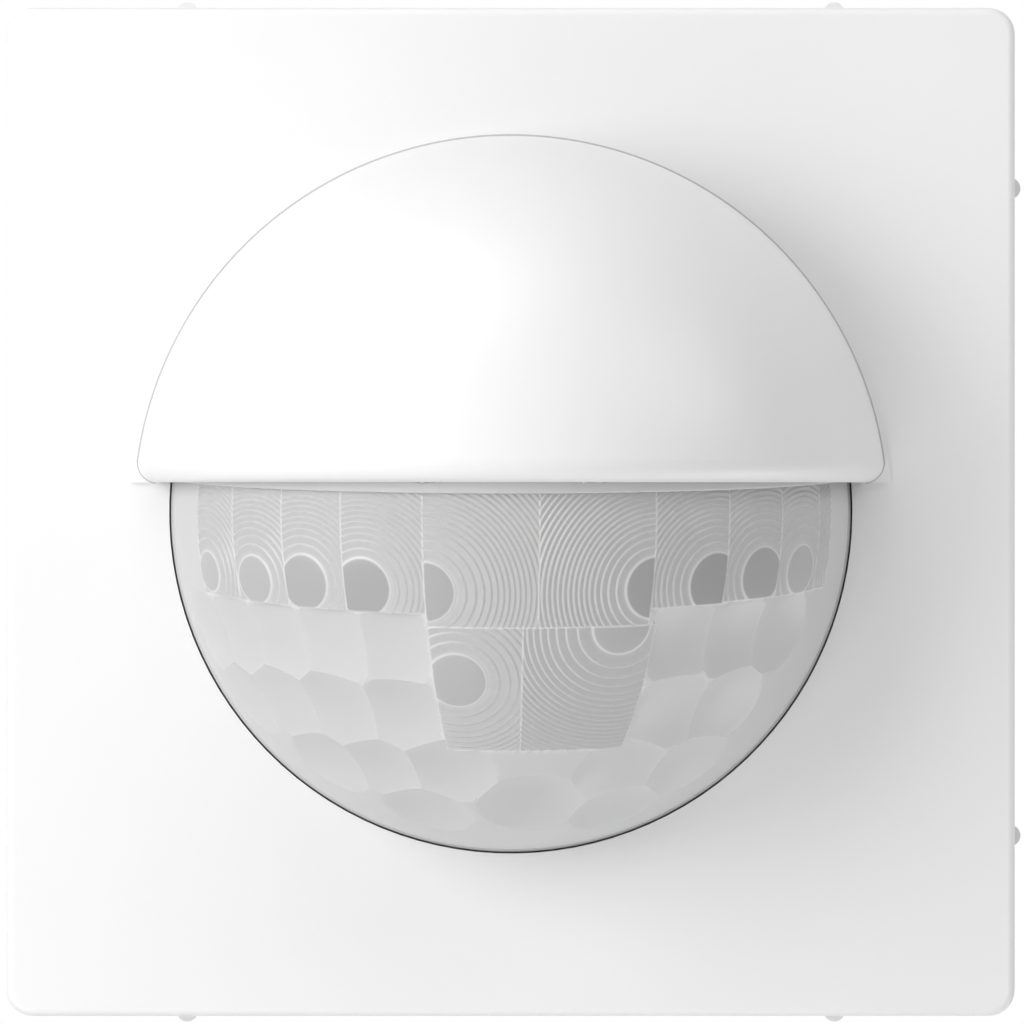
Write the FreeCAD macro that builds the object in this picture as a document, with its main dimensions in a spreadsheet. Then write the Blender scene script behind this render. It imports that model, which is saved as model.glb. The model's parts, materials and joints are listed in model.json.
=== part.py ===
import FreeCAD, Part
import math
import os
import re
import Sketcher

# Presence detector for a flush wall box, in millimetres.
# The wall plane is y = 0, the room is on the -Y side, +X is right and +Z is up.
# "front" in this file is the distance ahead of the wall, so front = -y.

SIZES = {
    # centre plate
    "plate_width": 70.2,
    "skirt_flare": 0.15,
    "plate_corner": 1.8,
    "inner_corner": 1.0,
    "face_front": 11.0,
    "skirt_depth": 8.0,
    "plate_wall": 1.8,
    "edge_round": 0.5,
    "nib_spread": 22.6,
    "nib_radius": 0.75,
    "nib_rise": 0.35,
    "nib_length": 2.4,
    "side_notch_spread": 11.0,
    "side_notch_width": 5.6,
    "top_notch_width": 10.3,
    "notch_depth": 2.4,
    "leg_width": 8.0,
    "leg_wall": 1.4,
    "leg_spread": 14.0,
    "leg_length": 5.0,
    "leg_gap": 0.3,
    # hood
    "hood_air": 1.0,
    "hood_wall": 1.7,
    "hood_low": 2.05,
    "hood_lip": 1.35,
    "flange_rise": 0.35,
    "flange_wall": 0.5,
    "tab_width": 3.0,
    "tab_wall": 0.8,
    "tab_angle": 12.5,
    "tab_gap": 0.1,
    # lens
    "lens_radius": 23.5,
    "lens_wall": 1.2,
    "lens_gap": 0.3,
    "foot_rim": 1.9,
    "foot_wall": 0.9,
    "lens_tilt": 6.5,
    "dent_radius": 22.0,
    "ring_rise": 0.16,
    "ring_step": 3.0,
    # seal in the gap round the lens
    "seal_gap": 0.1,
    "seal_width": 1.6,
    "seal_wall": 0.6,
    # sensor module
    "module_room": 1.3,
    "module_corner": 5.0,
    "module_front": 8.6,
    "module_rear": 2.8,
    "module_wall": 1.4,
    "module_face": 1.2,
    "seat_depth": 1.0,
    "seat_rim": 1.3,
    "rear_wall": 1.2,
    "fit_gap": 0.1,
    "board_front": 6.2,
    "board_wall": 1.6,
    "post_radius": 2.0,
    "module_screw_inset": 0.7,
    "module_screw_angle": 20.0,
    "screw_radius": 1.0,
    "screw_head_radius": 1.9,
    "screw_head_wall": 0.7,
    "screw_slot_length": 2.8,
    "screw_slot": 0.5,
    "screw_slot_depth": 0.35,
    "screw_bite": 1.0,
    # heat sensors
    "bracket_half": 11.0,
    "bracket_nose": 3.5,
    "bracket_foot": 1.0,
    "bracket_rise": 7.4,
    "bracket_width": 12.0,
    "can_flange_radius": 4.6,
    "can_flange_wall": 0.8,
    "can_radius": 4.1,
    "can_height": 4.2,
    "window_width": 4.0,
    "window_height": 3.2,
    "window_wall": 0.3,
    # light parts on the board
    "light_spread": 6.0,
    "light_down": 13.0,
    "chip_width": 3.2,
    "chip_height": 2.4,
    "chip_wall": 1.1,
    "guide_radius": 1.4,
    "guide_length": 7.0,
    # setting dials
    "trimmer_gap": 0.153,
    "dial_radius": 3.5,
    "dial_gap": 0.3,
    "dial_top": 8.9,
    "dial_wall": 1.5,
    "spindle_radius": 1.2,
    "spindle_length": 0.8,
    "spindle_gap": 0.05,
    "trimmer_width": 7.6,
    "trimmer_wall": 1.1,
    "dial_slot_width": 0.9,
    "dial_slot_length": 4.6,
    "dial_slot_depth": 0.8,
    # plug between module and insert
    "plug_width": 14.0,
    "plug_height": 5.6,
    "plug_rear": 1.5,
    "pin_width": 0.64,
    "pin_pitch": 2.54,
    "pin_count": 5,
    "pin_length": 4.6,
    "pin_gap": 0.05,
    # steel support ring
    "ring_width": 68.0,
    "ring_corner": 6.0,
    "ring_wall": 1.2,
    "opening_inset": 6.2,
    "box_screw_pitch": 60.0,
    "box_slot_radius": 1.75,
    "box_slot_length": 5.5,
    "box_arc": 12.0,
    "ring_screw_inset": 3.6,
    "ring_screw_angle": 45.0,
    # insert in the wall box
    "insert_radius": 25.2,
    "insert_wall": 1.3,
    "insert_depth": 31.0,
    "front_wall": 1.6,
    "boss_gap": 0.2,
    "recess_depth": 5.6,
    "recess_half": 5.5,
    "power_front": -5.0,
    "power_wall": 1.6,
    "power_gap": 0.3,
    "case_edge": 0.5,
    "small_edge": 0.3,
    # parts on the power board
    "relay_width": 20.4,
    "relay_height": 10.2,
    "relay_depth": 15.4,
    "relay_up": -2.6,
    "film_width": 17.6,
    "film_height": 6.6,
    "film_depth": 12.5,
    "film_up": 15.6,
    "can_cap_radius": 4.0,
    "can_cap_depth": 12.0,
    "can_cap_across": 13.6,
    "can_cap_up": 10.2,
    "varistor_radius": 3.8,
    "varistor_wall": 3.4,
    "varistor_across": -13.6,
    "varistor_up": 9.8,
    "varistor_lead": 1.2,
    "choke_radius": 3.8,
    "choke_waist": 2.6,
    "choke_depth": 8.5,
    "choke_end": 1.4,
    "choke_up": 7.4,
    "fuse_radius": 2.4,
    "fuse_depth": 7.6,
    "fuse_angle": 218.5,
    "corner_room": 1.6,
    "bridge_width": 4.6,
    "bridge_height": 5.6,
    "bridge_depth": 5.0,
    "bridge_angle": 321.6,
    # mains terminals
    "terminal_pitch": 5.6,
    "terminal_count": 4,
    "terminal_inset": 3.7,
    "terminal_high": -9.4,
    "terminal_depth": 13.5,
    "wire_radius": 1.5,
    "wire_place": 0.26,
    "well_radius": 2.1,
    "well_depth": 7.0,
    "well_place": 0.28,
    "clamp_screw_radius": 1.8,
    "clamp_screw_length": 4.0,
    "bar_width": 2.6,
    "bar_wall": 0.8,
    # spreading claws
    "claw_screw_inset": 2.9,
    "claw_screw_radius": 1.4,
    "claw_screw_head": 2.6,
    "claw_head_wall": 1.4,
    "claw_screw_end": -19.0,
    "claw_wall": 1.0,
    "claw_half": 4.6,
    "claw_air": 0.7,
    "claw_front": -0.4,
    "claw_end": -23.0,
    "claw_foot": -17.0,
    "claw_fork_half": 1.7,
    "claw_tooth": 1.0,
    "claw_tooth_gap": 1.5,
    "claw_tab_half": 2.0,
    "claw_tab_front": 0.9,
    "claw_tab_gap": 0.3,
}

doc = FreeCAD.newDocument("presence_detector")
sheet = doc.addObject("Spreadsheet::Sheet", "Sizes")
for row, (alias, amount) in enumerate(SIZES.items(), start=1):
    sheet.set(f"A{row}", alias)
    sheet.set(f"B{row}", str(amount))
    sheet.setAlias(f"B{row}", alias)
doc.recompute()

NODES = []


# Expressions on the sheet

def sized(text):
    """'plate_width / 2' becomes an expression on the sheet's cells."""
    return re.sub(r"[a-z]\w*", lambda word: f"Sizes.{word[0]}" if word[0] in SIZES else word[0], str(text))


def number(text):
    """The value that such an expression has now."""
    return float(sheet.evalExpression(sized(text)))


def bind(item, path, text):
    item.setExpression(path, sized(text))


# Bodies and sketches

def new_body(name):
    body = doc.addObject("PartDesign::Body", name)
    body.Label = name
    NODES.append(body)
    return body


def origin_part(body, role):
    return next(item for item in body.Origin.OriginFeatures if item.Role == role)


def plane_sketch(body, name, role):
    sketch = body.newObject("Sketcher::SketchObject", f"{body.Label}_{name}")
    sketch.AttachmentSupport = [(origin_part(body, role), "")]
    sketch.MapMode = "FlatFace"
    return sketch


def front_sketch(body, name, front):
    """A sketch parallel to the wall at `front`: its x is across and its y is up."""
    sketch = plane_sketch(body, name, "XZ_Plane")
    bind(sketch, "AttachmentOffset.Base.z", front)
    return sketch


def level_sketch(body, name, up="0"):
    """A level sketch at height `up`: its x is across and its y is the depth into the wall."""
    sketch = plane_sketch(body, name, "XY_Plane")
    bind(sketch, "AttachmentOffset.Base.z", up)
    return sketch


def rule(sketch, kind, *references):
    sketch.addConstraint(Sketcher.Constraint(kind, *references))


def measure(sketch, kind, *references):
    """Adds a driven dimension; the last reference is its expression."""
    *where, text = references
    index = sketch.addConstraint(Sketcher.Constraint(kind, *where, number(text)))
    bind(sketch, f"Constraints[{index}]", text)


def place(sketch, geometry, end, x, y):
    measure(sketch, "DistanceX", -1, 1, geometry, end, x)
    measure(sketch, "DistanceY", -1, 1, geometry, end, y)


def point(x, y):
    return FreeCAD.Vector(number(x), number(y), 0)


def circle(sketch, x, y, radius):
    ring = Part.Circle(point(x, y), FreeCAD.Vector(0, 0, 1), number(radius))
    index = sketch.addGeometry(ring, False)
    place(sketch, index, 3, x, y)
    measure(sketch, "Radius", index, radius)


def polygon(sketch, corners, arcs=()):
    """Sides through the corners; a side in arcs is an arc with its centre on the sketch's y axis."""
    first = sketch.GeometryCount
    points = [point(x, y) for x, y in corners]
    count = len(points)
    flipped = set()
    for index, start in enumerate(points):
        end = points[(index + 1) % count]
        if index in arcs:
            centre_y = (end.dot(end) - start.dot(start)) / (2 * (end.y - start.y))
            centre = FreeCAD.Vector(0, centre_y, 0)
            angles = [math.atan2(p.y - centre_y, p.x) for p in (start, end)]
            if angles[0] > angles[1]:
                angles.reverse()
                flipped.add(index)
            ring = Part.Circle(centre, FreeCAD.Vector(0, 0, 1), (start - centre).Length)
            sketch.addGeometry(Part.ArcOfCircle(ring, *angles), False)
            rule(sketch, "PointOnObject", first + index, 3, -2)
        else:
            sketch.addGeometry(Part.LineSegment(start, end), False)
    for index in range(count):
        following = (index + 1) % count
        leaving = 1 if index in flipped else 2
        entering = 2 if following in flipped else 1
        rule(sketch, "Coincident", first + index, leaving, first + following, entering)
    for index, (x, y) in enumerate(corners):
        place(sketch, first + index, 2 if index in flipped else 1, x, y)


def box(sketch, left, right, low, high):
    polygon(sketch, [(left, low), (right, low), (right, high), (left, high)])


def block(sketch, x, y, width, height):
    half_x = f"({width}) / 2"
    half_y = f"({height}) / 2"
    box(sketch, f"{x} - {half_x}", f"{x} + {half_x}", f"{y} - {half_y}", f"{y} + {half_y}")


def rounded(sketch, width, height, corner):
    """A rectangle about the sketch's origin with round corners."""
    half_x = number(width) / 2
    half_y = number(height) / 2
    radius = number(corner)
    first = sketch.GeometryCount
    for index in range(4):
        turn = math.radians(90 * index)
        reach, side = (half_y, half_x) if index % 2 == 0 else (half_x, half_y)
        spin = FreeCAD.Rotation(FreeCAD.Vector(0, 0, 1), 90 * index)
        start = spin.multVec(FreeCAD.Vector(radius - side, -reach, 0))
        end = spin.multVec(FreeCAD.Vector(side - radius, -reach, 0))
        centre = spin.multVec(FreeCAD.Vector(side - radius, radius - reach, 0))
        ring = Part.Circle(centre, FreeCAD.Vector(0, 0, 1), radius)
        sketch.addGeometry(Part.LineSegment(start, end), False)
        sketch.addGeometry(Part.ArcOfCircle(ring, turn - math.pi / 2, turn), False)
    for index in range(8):
        rule(sketch, "Tangent", first + index, 2, first + (index + 1) % 8, 1)
    for index, kind in enumerate(("Horizontal", "Vertical", "Horizontal", "Vertical")):
        rule(sketch, kind, first + 2 * index)
    for index in (3, 5, 7):
        rule(sketch, "Equal", first + 1, first + index)
    measure(sketch, "Radius", first + 1, corner)
    measure(sketch, "DistanceX", -1, 1, first + 2, 1, f"({width}) / 2")
    measure(sketch, "DistanceX", first + 6, 1, -1, 1, f"({width}) / 2")
    measure(sketch, "DistanceY", -1, 1, first + 4, 1, f"({height}) / 2")
    measure(sketch, "DistanceY", first + 0, 1, -1, 1, f"({height}) / 2")


def slot(sketch, x, y, length, radius):
    """An upright slot centred on x, y."""
    reach = f"(({length}) / 2 - ({radius}))"
    centres = [point(x, f"{y} + {reach}"), point(x, f"{y} - {reach}")]
    size = number(radius)
    first = sketch.GeometryCount
    side = FreeCAD.Vector(size, 0, 0)
    rings = [Part.Circle(centre, FreeCAD.Vector(0, 0, 1), size) for centre in centres]
    sketch.addGeometry(Part.ArcOfCircle(rings[0], 0, math.pi), False)
    sketch.addGeometry(Part.LineSegment(centres[0] - side, centres[1] - side), False)
    sketch.addGeometry(Part.ArcOfCircle(rings[1], math.pi, 2 * math.pi), False)
    sketch.addGeometry(Part.LineSegment(centres[1] + side, centres[0] + side), False)
    for index in range(4):
        rule(sketch, "Tangent", first + index, 2, first + (index + 1) % 4, 1)
    rule(sketch, "Equal", first, first + 2)
    measure(sketch, "Radius", first, radius)
    place(sketch, first, 3, x, f"{y} + {reach}")
    measure(sketch, "DistanceY", -1, 1, first + 2, 3, f"{y} - {reach}")


def cap_segment(sketch, radius, low):
    """The part of a circle about the origin that lies above the height `low`."""
    size = number(radius)
    height = number(low)
    reach = math.sqrt(size * size - height * height)
    start = math.atan2(height, reach)
    first = sketch.GeometryCount
    ring = Part.Circle(FreeCAD.Vector(0, 0, 0), FreeCAD.Vector(0, 0, 1), size)
    left = FreeCAD.Vector(-reach, height, 0)
    right = FreeCAD.Vector(reach, height, 0)
    sketch.addGeometry(Part.ArcOfCircle(ring, start, math.pi - start), False)
    sketch.addGeometry(Part.LineSegment(left, right), False)
    rule(sketch, "Coincident", first, 3, -1, 1)
    rule(sketch, "Coincident", first, 2, first + 1, 1)
    rule(sketch, "Coincident", first + 1, 2, first, 1)
    rule(sketch, "Horizontal", first + 1)
    measure(sketch, "Radius", first, radius)
    measure(sketch, "DistanceY", -1, 1, first + 1, 1, low)


# Features

def pad(body, sketch, length, to_wall=False):
    feature = body.newObject("PartDesign::Pad", f"{sketch.Name}_pad")
    feature.Profile = sketch
    feature.Reversed = to_wall
    bind(feature, "Length", length)
    doc.recompute()
    return feature


def pocket(body, sketch, length, to_room=False):
    before = body.Shape.Volume
    feature = body.newObject("PartDesign::Pocket", f"{sketch.Name}_pocket")
    feature.Profile = sketch
    feature.Reversed = to_room
    bind(feature, "Length", length)
    doc.recompute()
    if not feature.Shape.Volume < before:
        raise ValueError(f"{feature.Name} cuts nothing")
    return feature


def revolve(body, sketch):
    feature = body.newObject("PartDesign::Revolution", f"{sketch.Name}_turned")
    feature.Profile = sketch
    feature.ReferenceAxis = (sketch, ["V_Axis"])
    feature.Angle = 360
    doc.recompute()
    return feature


def loft(body, start, end):
    feature = body.newObject("PartDesign::AdditiveLoft", f"{body.Label}_loft")
    feature.Profile = start
    feature.Sections = [end]
    feature.Ruled = True
    doc.recompute()
    return feature


def edges_where(shape, test):
    return [f"Edge{index}" for index, edge in enumerate(shape.Edges, start=1) if test(edge)]


def at_front(front):
    """Tests that an edge lies in the plane at `front`."""
    depth = -number(front)
    return lambda edge: all(abs(vertex.Point.y - depth) < 1e-6 for vertex in edge.Vertexes)


def fillet(body, radius, test, kind="PartDesign::Fillet", size="Radius"):
    base = body.Tip
    feature = body.newObject(kind, f"{base.Name}_edge")
    feature.Base = (base, edges_where(base.Shape, test))
    bind(feature, size, radius)
    doc.recompute()
    return feature


def chamfer(body, amount, test):
    return fillet(body, amount, test, "PartDesign::Chamfer", "Size")


def repeat_round(body, feature, count):
    """Repeats a feature round the y axis."""
    pattern = body.newObject("PartDesign::PolarPattern", f"{feature.Name}_round")
    pattern.Originals = [feature]
    pattern.Axis = (origin_part(body, "Y_Axis"), [""])
    pattern.Angle = 360
    pattern.Occurrences = count
    body.Tip = pattern
    doc.recompute()
    return pattern


def mirror(body, feature, role="YZ_Plane"):
    """Mirrors a feature to the other side of one of the body's origin planes."""
    twin = body.newObject("PartDesign::Mirrored", f"{feature.Name}_mirror")
    twin.Originals = [feature]
    twin.MirrorPlane = (origin_part(body, role), [""])
    body.Tip = twin
    doc.recompute()
    return twin


def repeat_across(body, feature, span, count):
    """Repeats a feature along the x axis, from the first copy to the last."""
    row = body.newObject("PartDesign::LinearPattern", f"{feature.Name}_row")
    row.Originals = [feature]
    row.Direction = (origin_part(body, "X_Axis"), [""])
    bind(row, "Length", span)
    bind(row, "Occurrences", count)
    body.Tip = row
    doc.recompute()
    return row


def disc(body, name, front, x, y, radius, length, to_wall=False):
    sketch = front_sketch(body, name, front)
    circle(sketch, x, y, radius)
    return pad(body, sketch, length, to_wall)


def brick(body, name, front, x, y, width, height, length, to_wall=False):
    sketch = front_sketch(body, name, front)
    block(sketch, x, y, width, height)
    return pad(body, sketch, length, to_wall)


def four_places(x, y):
    return [(f"{side}{x}", f"{end}{y}") for side in ("", "-") for end in ("", "-")]


# Places that several pieces share

FACE_REAR = "(face_front - plate_wall)"
SKIRT_EDGE = "(face_front - skirt_depth)"
HOOD_INNER = "(lens_radius + hood_air)"
HOOD_MIDDLE = "(lens_radius + hood_air + hood_wall / 2)"
HOOD_RADIUS = "(lens_radius + hood_air + hood_wall)"
TAB_ACROSS = f"{HOOD_MIDDLE} * cos(tab_angle)"
TAB_UP = f"{HOOD_MIDDLE} * sin(tab_angle)"
LENS_INNER = "(lens_radius - lens_wall)"
SEAT_FRONT = "(module_front - seat_depth)"
LENS_FOOT = "(lens_radius + foot_rim)"
SEAT_RADIUS = f"({LENS_FOOT} + dial_gap)"
COLLAR_RADIUS = f"({SEAT_RADIUS} + seat_rim)"
SEAL_INNER = "(lens_radius + seal_gap)"
BOARD_REAR = "(board_front - board_wall)"
LID_FRONT = "(module_rear + rear_wall)"
DIAL_SPREAD = f"(({COLLAR_RADIUS} + trimmer_gap) / sqrt(2) + trimmer_width / 2)"
MODULE_INNER = f"(2 * ({DIAL_SPREAD} + trimmer_width / 2 + module_room))"
MODULE_WIDTH = f"({MODULE_INNER} + 2 * module_wall)"
MODULE_SCREW_CIRCLE = f"({SEAT_RADIUS} - module_screw_inset)"
MODULE_SCREWS = four_places(f"{MODULE_SCREW_CIRCLE} * cos(module_screw_angle)",
                            f"{MODULE_SCREW_CIRCLE} * sin(module_screw_angle)")
DIALS = {
    "range": (f"-{DIAL_SPREAD}", f"-{DIAL_SPREAD}"),
    "lux": (DIAL_SPREAD, DIAL_SPREAD),
    "time": (DIAL_SPREAD, f"-{DIAL_SPREAD}"),
}
BRACKET_SHOULDER = "(board_front + bracket_foot)"
BRACKET_SLOPE = "atan((bracket_rise - bracket_foot) / (bracket_half - bracket_nose))"
FUSE_CIRCLE = "(insert_radius - insert_wall - corner_room - fuse_radius)"
BRIDGE_CIRCLE = "(insert_radius - insert_wall - corner_room - bridge_width / 2)"
RING_OPENING = "(insert_radius - opening_inset)"
RING_SCREW_CIRCLE = "(insert_radius - ring_screw_inset)"
RING_SCREWS = four_places(f"{RING_SCREW_CIRCLE} * cos(ring_screw_angle)",
                          f"{RING_SCREW_CIRCLE} * sin(ring_screw_angle)")
BOSS_RADIUS = f"({RING_OPENING} - boss_gap)"
RECESS_INNER = "(insert_radius - recess_depth)"
POWER_REAR = "(power_front - power_wall)"
INSERT_REAR = "(0 - insert_depth)"
TERMINAL_FIRST = "(0 - terminal_pitch * (terminal_count - 1) / 2)"
TERMINAL_SPAN = "terminal_pitch * (terminal_count - 1)"
TERMINAL_LOW = "(terminal_inset + insert_wall - insert_radius)"
TERMINAL_MIDDLE = f"(({TERMINAL_LOW} + terminal_high) / 2)"
TERMINAL_HEIGHT = f"(terminal_high - {TERMINAL_LOW})"
WIRE_UP = f"(terminal_high - wire_place * {TERMINAL_HEIGHT})"
WELL_UP = f"({TERMINAL_LOW} + well_place * {TERMINAL_HEIGHT})"
TERMINAL_WIDTH = "(terminal_pitch * terminal_count)"
CLAW_WEB = "(insert_radius - claw_wall)"
CLAW_FLANGE_LOW = f"({RECESS_INNER} + claw_air)"
CLAW_SCREW = "(insert_radius - claw_screw_inset)"


# Centre plate

def make_cover_plate():
    body = new_body("cover_plate")
    skirt = front_sketch(body, "skirt", SKIRT_EDGE)
    outline = "plate_width + 2 * skirt_flare"
    rounded(skirt, outline, outline, "plate_corner + skirt_flare")
    face = front_sketch(body, "face", "face_front")
    rounded(face, "plate_width", "plate_width", "plate_corner")
    loft(body, skirt, face)
    fillet(body, "edge_round", at_front("face_front"))

    hollow = front_sketch(body, "hollow", SKIRT_EDGE)
    rounded(hollow, "plate_width - 2 * plate_wall", "plate_width - 2 * plate_wall", "inner_corner")
    pocket(body, hollow, "skirt_depth - plate_wall", to_room=True)

    opening = front_sketch(body, "opening", "face_front")
    circle(opening, "0", "0", "lens_radius + lens_gap")
    pocket(body, opening, "plate_wall")
    step = front_sketch(body, "hood_step", "face_front")
    cap_segment(step, HOOD_INNER, "hood_low")
    pocket(body, step, "plate_wall")

    slots = front_sketch(body, "tab_slots", "face_front")
    for side in ("", "-"):
        block(slots, f"{side}({TAB_ACROSS})", TAB_UP, "tab_wall + 2 * tab_gap", "tab_width + 2 * tab_gap")
    block(slots, "0", HOOD_MIDDLE, "tab_width + 2 * tab_gap", "tab_wall + 2 * tab_gap")
    pocket(body, slots, "plate_wall")

    half = "(plate_width / 2 + skirt_flare)"
    nibs = front_sketch(body, "nibs", SKIRT_EDGE)
    for side in ("", "-"):
        circle(nibs, f"{half} + nib_rise - nib_radius", f"{side}nib_spread", "nib_radius")
    repeat_round(body, pad(body, nibs, "nib_length"), 4)

    notch = front_sketch(body, "side_notches", SKIRT_EDGE)
    for side in ("", "-"):
        block(notch, half, f"{side}side_notch_spread", "4 * plate_wall", "side_notch_width")
    mirror(body, pocket(body, notch, "notch_depth", to_room=True))
    top = front_sketch(body, "top_notch", SKIRT_EDGE)
    block(top, "0", half, "top_notch_width", "4 * plate_wall")
    pocket(body, top, "notch_depth", to_room=True)

    legs = front_sketch(body, "legs", FACE_REAR)
    for side in ("", "-"):
        block(legs, f"{MODULE_WIDTH} / 2 + leg_gap + leg_wall / 2", f"{side}leg_spread", "leg_wall",
              "leg_width")
    mirror(body, pad(body, legs, "leg_length", to_wall=True))


# Hood over the upper half of the lens

def make_hood():
    body = new_body("hood")
    section = level_sketch(body, "section")
    flange_top = "(face_front + flange_wall)"
    polygon(section, [
        (HOOD_INNER, "0 - face_front"),
        (f"{HOOD_RADIUS} + flange_rise", "0 - face_front"),
        (f"{HOOD_RADIUS} + flange_rise", f"0 - {flange_top}"),
        (f"sqrt({HOOD_RADIUS} * {HOOD_RADIUS} - flange_wall * flange_wall)", f"0 - {flange_top}"),
        ("0", f"0 - face_front - {HOOD_RADIUS}"),
        ("0", f"0 - face_front - {HOOD_INNER}"),
    ], arcs=(3, 5))
    revolve(body, section)

    below = front_sketch(body, "below", "face_front")
    box(below, f"0 - 4 * {HOOD_RADIUS}", f"4 * {HOOD_RADIUS}", f"0 - 4 * {HOOD_RADIUS}", "hood_low")
    pocket(body, below, f"2 * {HOOD_RADIUS}", to_room=True)

    low = number("hood_low")
    middle_radius = number(HOOD_MIDDLE)
    centre_depth = -number("face_front")

    def outer_rim(edge):
        middle = edge.valueAt((edge.FirstParameter + edge.LastParameter) / 2)
        level = all(abs(spot.z - low) < 1e-6 for spot in [v.Point for v in edge.Vertexes] + [middle])
        reach = math.hypot(middle.x, middle.y - centre_depth, middle.z)
        return level and edge.Length > middle_radius and reach > middle_radius

    fillet(body, "hood_lip", outer_rim)

    tabs = front_sketch(body, "tabs", "face_front")
    for side in ("", "-"):
        block(tabs, f"{side}({TAB_ACROSS})", TAB_UP, "tab_wall", "tab_width")
    block(tabs, "0", HOOD_MIDDLE, "tab_width", "tab_wall")
    pad(body, tabs, "plate_wall", to_wall=True)


# Faceted lens dome: cells of rings above, dents below

# Fresnel cells: left and right azimuth, low and high elevation, azimuth and elevation of the disc
FRESNEL_CELLS = [
    (-73, -55, -11.2, 14, -62, -5.5),
    (-55, -42.4, -11.2, 14, -49.5, -5.5),
    (-42.4, -30, -11.2, 14, -38.5, -5.5),
    (-30, -15.1, -11.2, 14, -25, -5.5),
    (-15.1, 4.9, -12.4, 14, -13.9, -6),
    (4.9, 25.3, -12.4, 14, 24.3, -6),
    (25.3, 40, -11.2, 14, 37, -5.5),
    (40, 53, -11.2, 14, 48, -5.5),
    (53, 66, -11.2, 14, 58.5, -5.5),
    (66, 78, -11.2, 14, 70, -5.5),
    (-15.1, 2.2, -35.8, -12.4, -9.3, -22),
    (2.2, 26.5, -35.8, -12.4, 20.5, -13.5),
]

# Dents of the lower rows: azimuth and elevation of the middle, and half the width, in degrees
DENTS = [
    (-68.9, -18.5, 7.4),
    (-58.0, -17.6, 7.8),
    (-46.1, -17.4, 8.0),
    (-33.4, -17.5, 8.1),
    (-20.9, -17.3, 8.1),
    (31.8, -17.0, 8.1),
    (44.0, -17.0, 8.1),
    (56.2, -17.0, 8.0),
    (-64.0, -30.8, 7.4),
    (-50.4, -30.6, 8.2),
    (-36.2, -30.9, 8.6),
    (-21.6, -31.2, 8.6),
    (33.0, -31.3, 8.6),
    (47.6, -31.0, 8.4),
    (-47.4, -43.6, 8.0),
    (-31.8, -44.1, 8.2),
    (-15.2, -44.0, 8.6),
    (27.0, -44.4, 8.8),
    (46.6, -44.4, 8.2),
    (-26.3, -56.6, 8.0),
    (5.8, -53.6, 9.2),
    (33.6, -56.4, 8.0),
]

# Width of a cell's smooth disc, in steps of its rings
DISC_STEPS = 1.6

UP = FreeCAD.Vector(0, 0, 1)
ACROSS = FreeCAD.Vector(1, 0, 0)


def direction(azimuth, elevation, tilt):
    """Unit vector for an azimuth (plus is right) and an elevation about the tilted axis, in degrees."""
    a = math.radians(azimuth)
    e = math.radians(elevation)
    local = FreeCAD.Vector(math.sin(a) * math.cos(e), -math.cos(a) * math.cos(e), math.sin(e))
    return FreeCAD.Rotation(ACROSS, tilt).multVec(local)


def cell_cutter(cell, radius, tilt):
    """The space of one cell: two upright sides, and a low and a high side square to the tilted axis."""
    left, right, low, high = cell[:4]
    far = 3 * radius
    sides = [direction(azimuth, 0, 0) * far for azimuth in (left, right)]
    corners = [FreeCAD.Vector(0, 0, -far)] + [side - UP * far for side in sides]
    wedge = Part.Face(Part.makePolygon(corners + corners[:1])).extrude(UP * 2 * far)
    floor = radius * math.sin(math.radians(low))
    height = radius * math.sin(math.radians(high)) - floor
    slab = Part.makeBox(2 * far, 2 * far, height, FreeCAD.Vector(-far, -far, floor))
    slab.rotate(FreeCAD.Vector(), ACROSS, tilt)
    return wedge.common(slab)


def saw_tooth_cap(span, radius, rise, step):
    """A cap of the dome about +Z, to an angle of `span` degrees: a smooth disc, then rings."""
    top = radius + rise
    inner = radius - 2 * rise

    def spot(degrees, reach):
        angle = math.radians(degrees)
        return FreeCAD.Vector(reach * math.sin(angle), 0, reach * math.cos(angle))

    disc_angle = DISC_STEPS * step
    path = [Part.makeLine(spot(0, inner), spot(0, top))]
    path.append(Part.Arc(spot(0, top), spot(disc_angle / 2, top), spot(disc_angle, top)).toShape())
    last = spot(disc_angle, top)
    angle = disc_angle
    while angle < span:
        for following in (spot(angle, radius), spot(angle + step, top)):
            path.append(Part.makeLine(last, following))
            last = following
        angle += step
    path.append(Part.makeLine(last, spot(angle, inner)))
    path.append(Part.Arc(spot(angle, inner), spot(angle / 2, inner), spot(0, inner)).toShape())
    face = Part.Face(Part.Wire(path))
    return face.revolve(FreeCAD.Vector(), UP, 360)


def fresnel_cell(cell, radius, rise, step, tilt):
    left, right, low, high, azimuth, elevation = cell
    span = max(math.hypot(a - azimuth, e - elevation) for a in (left, right) for e in (low, high))
    cap = saw_tooth_cap(span, radius, rise, step)
    turn = FreeCAD.Rotation(UP, direction(azimuth, elevation, tilt))
    cap.Placement = FreeCAD.Placement(FreeCAD.Vector(), turn)
    return cap.common(cell_cutter(cell, radius, tilt))


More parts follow.
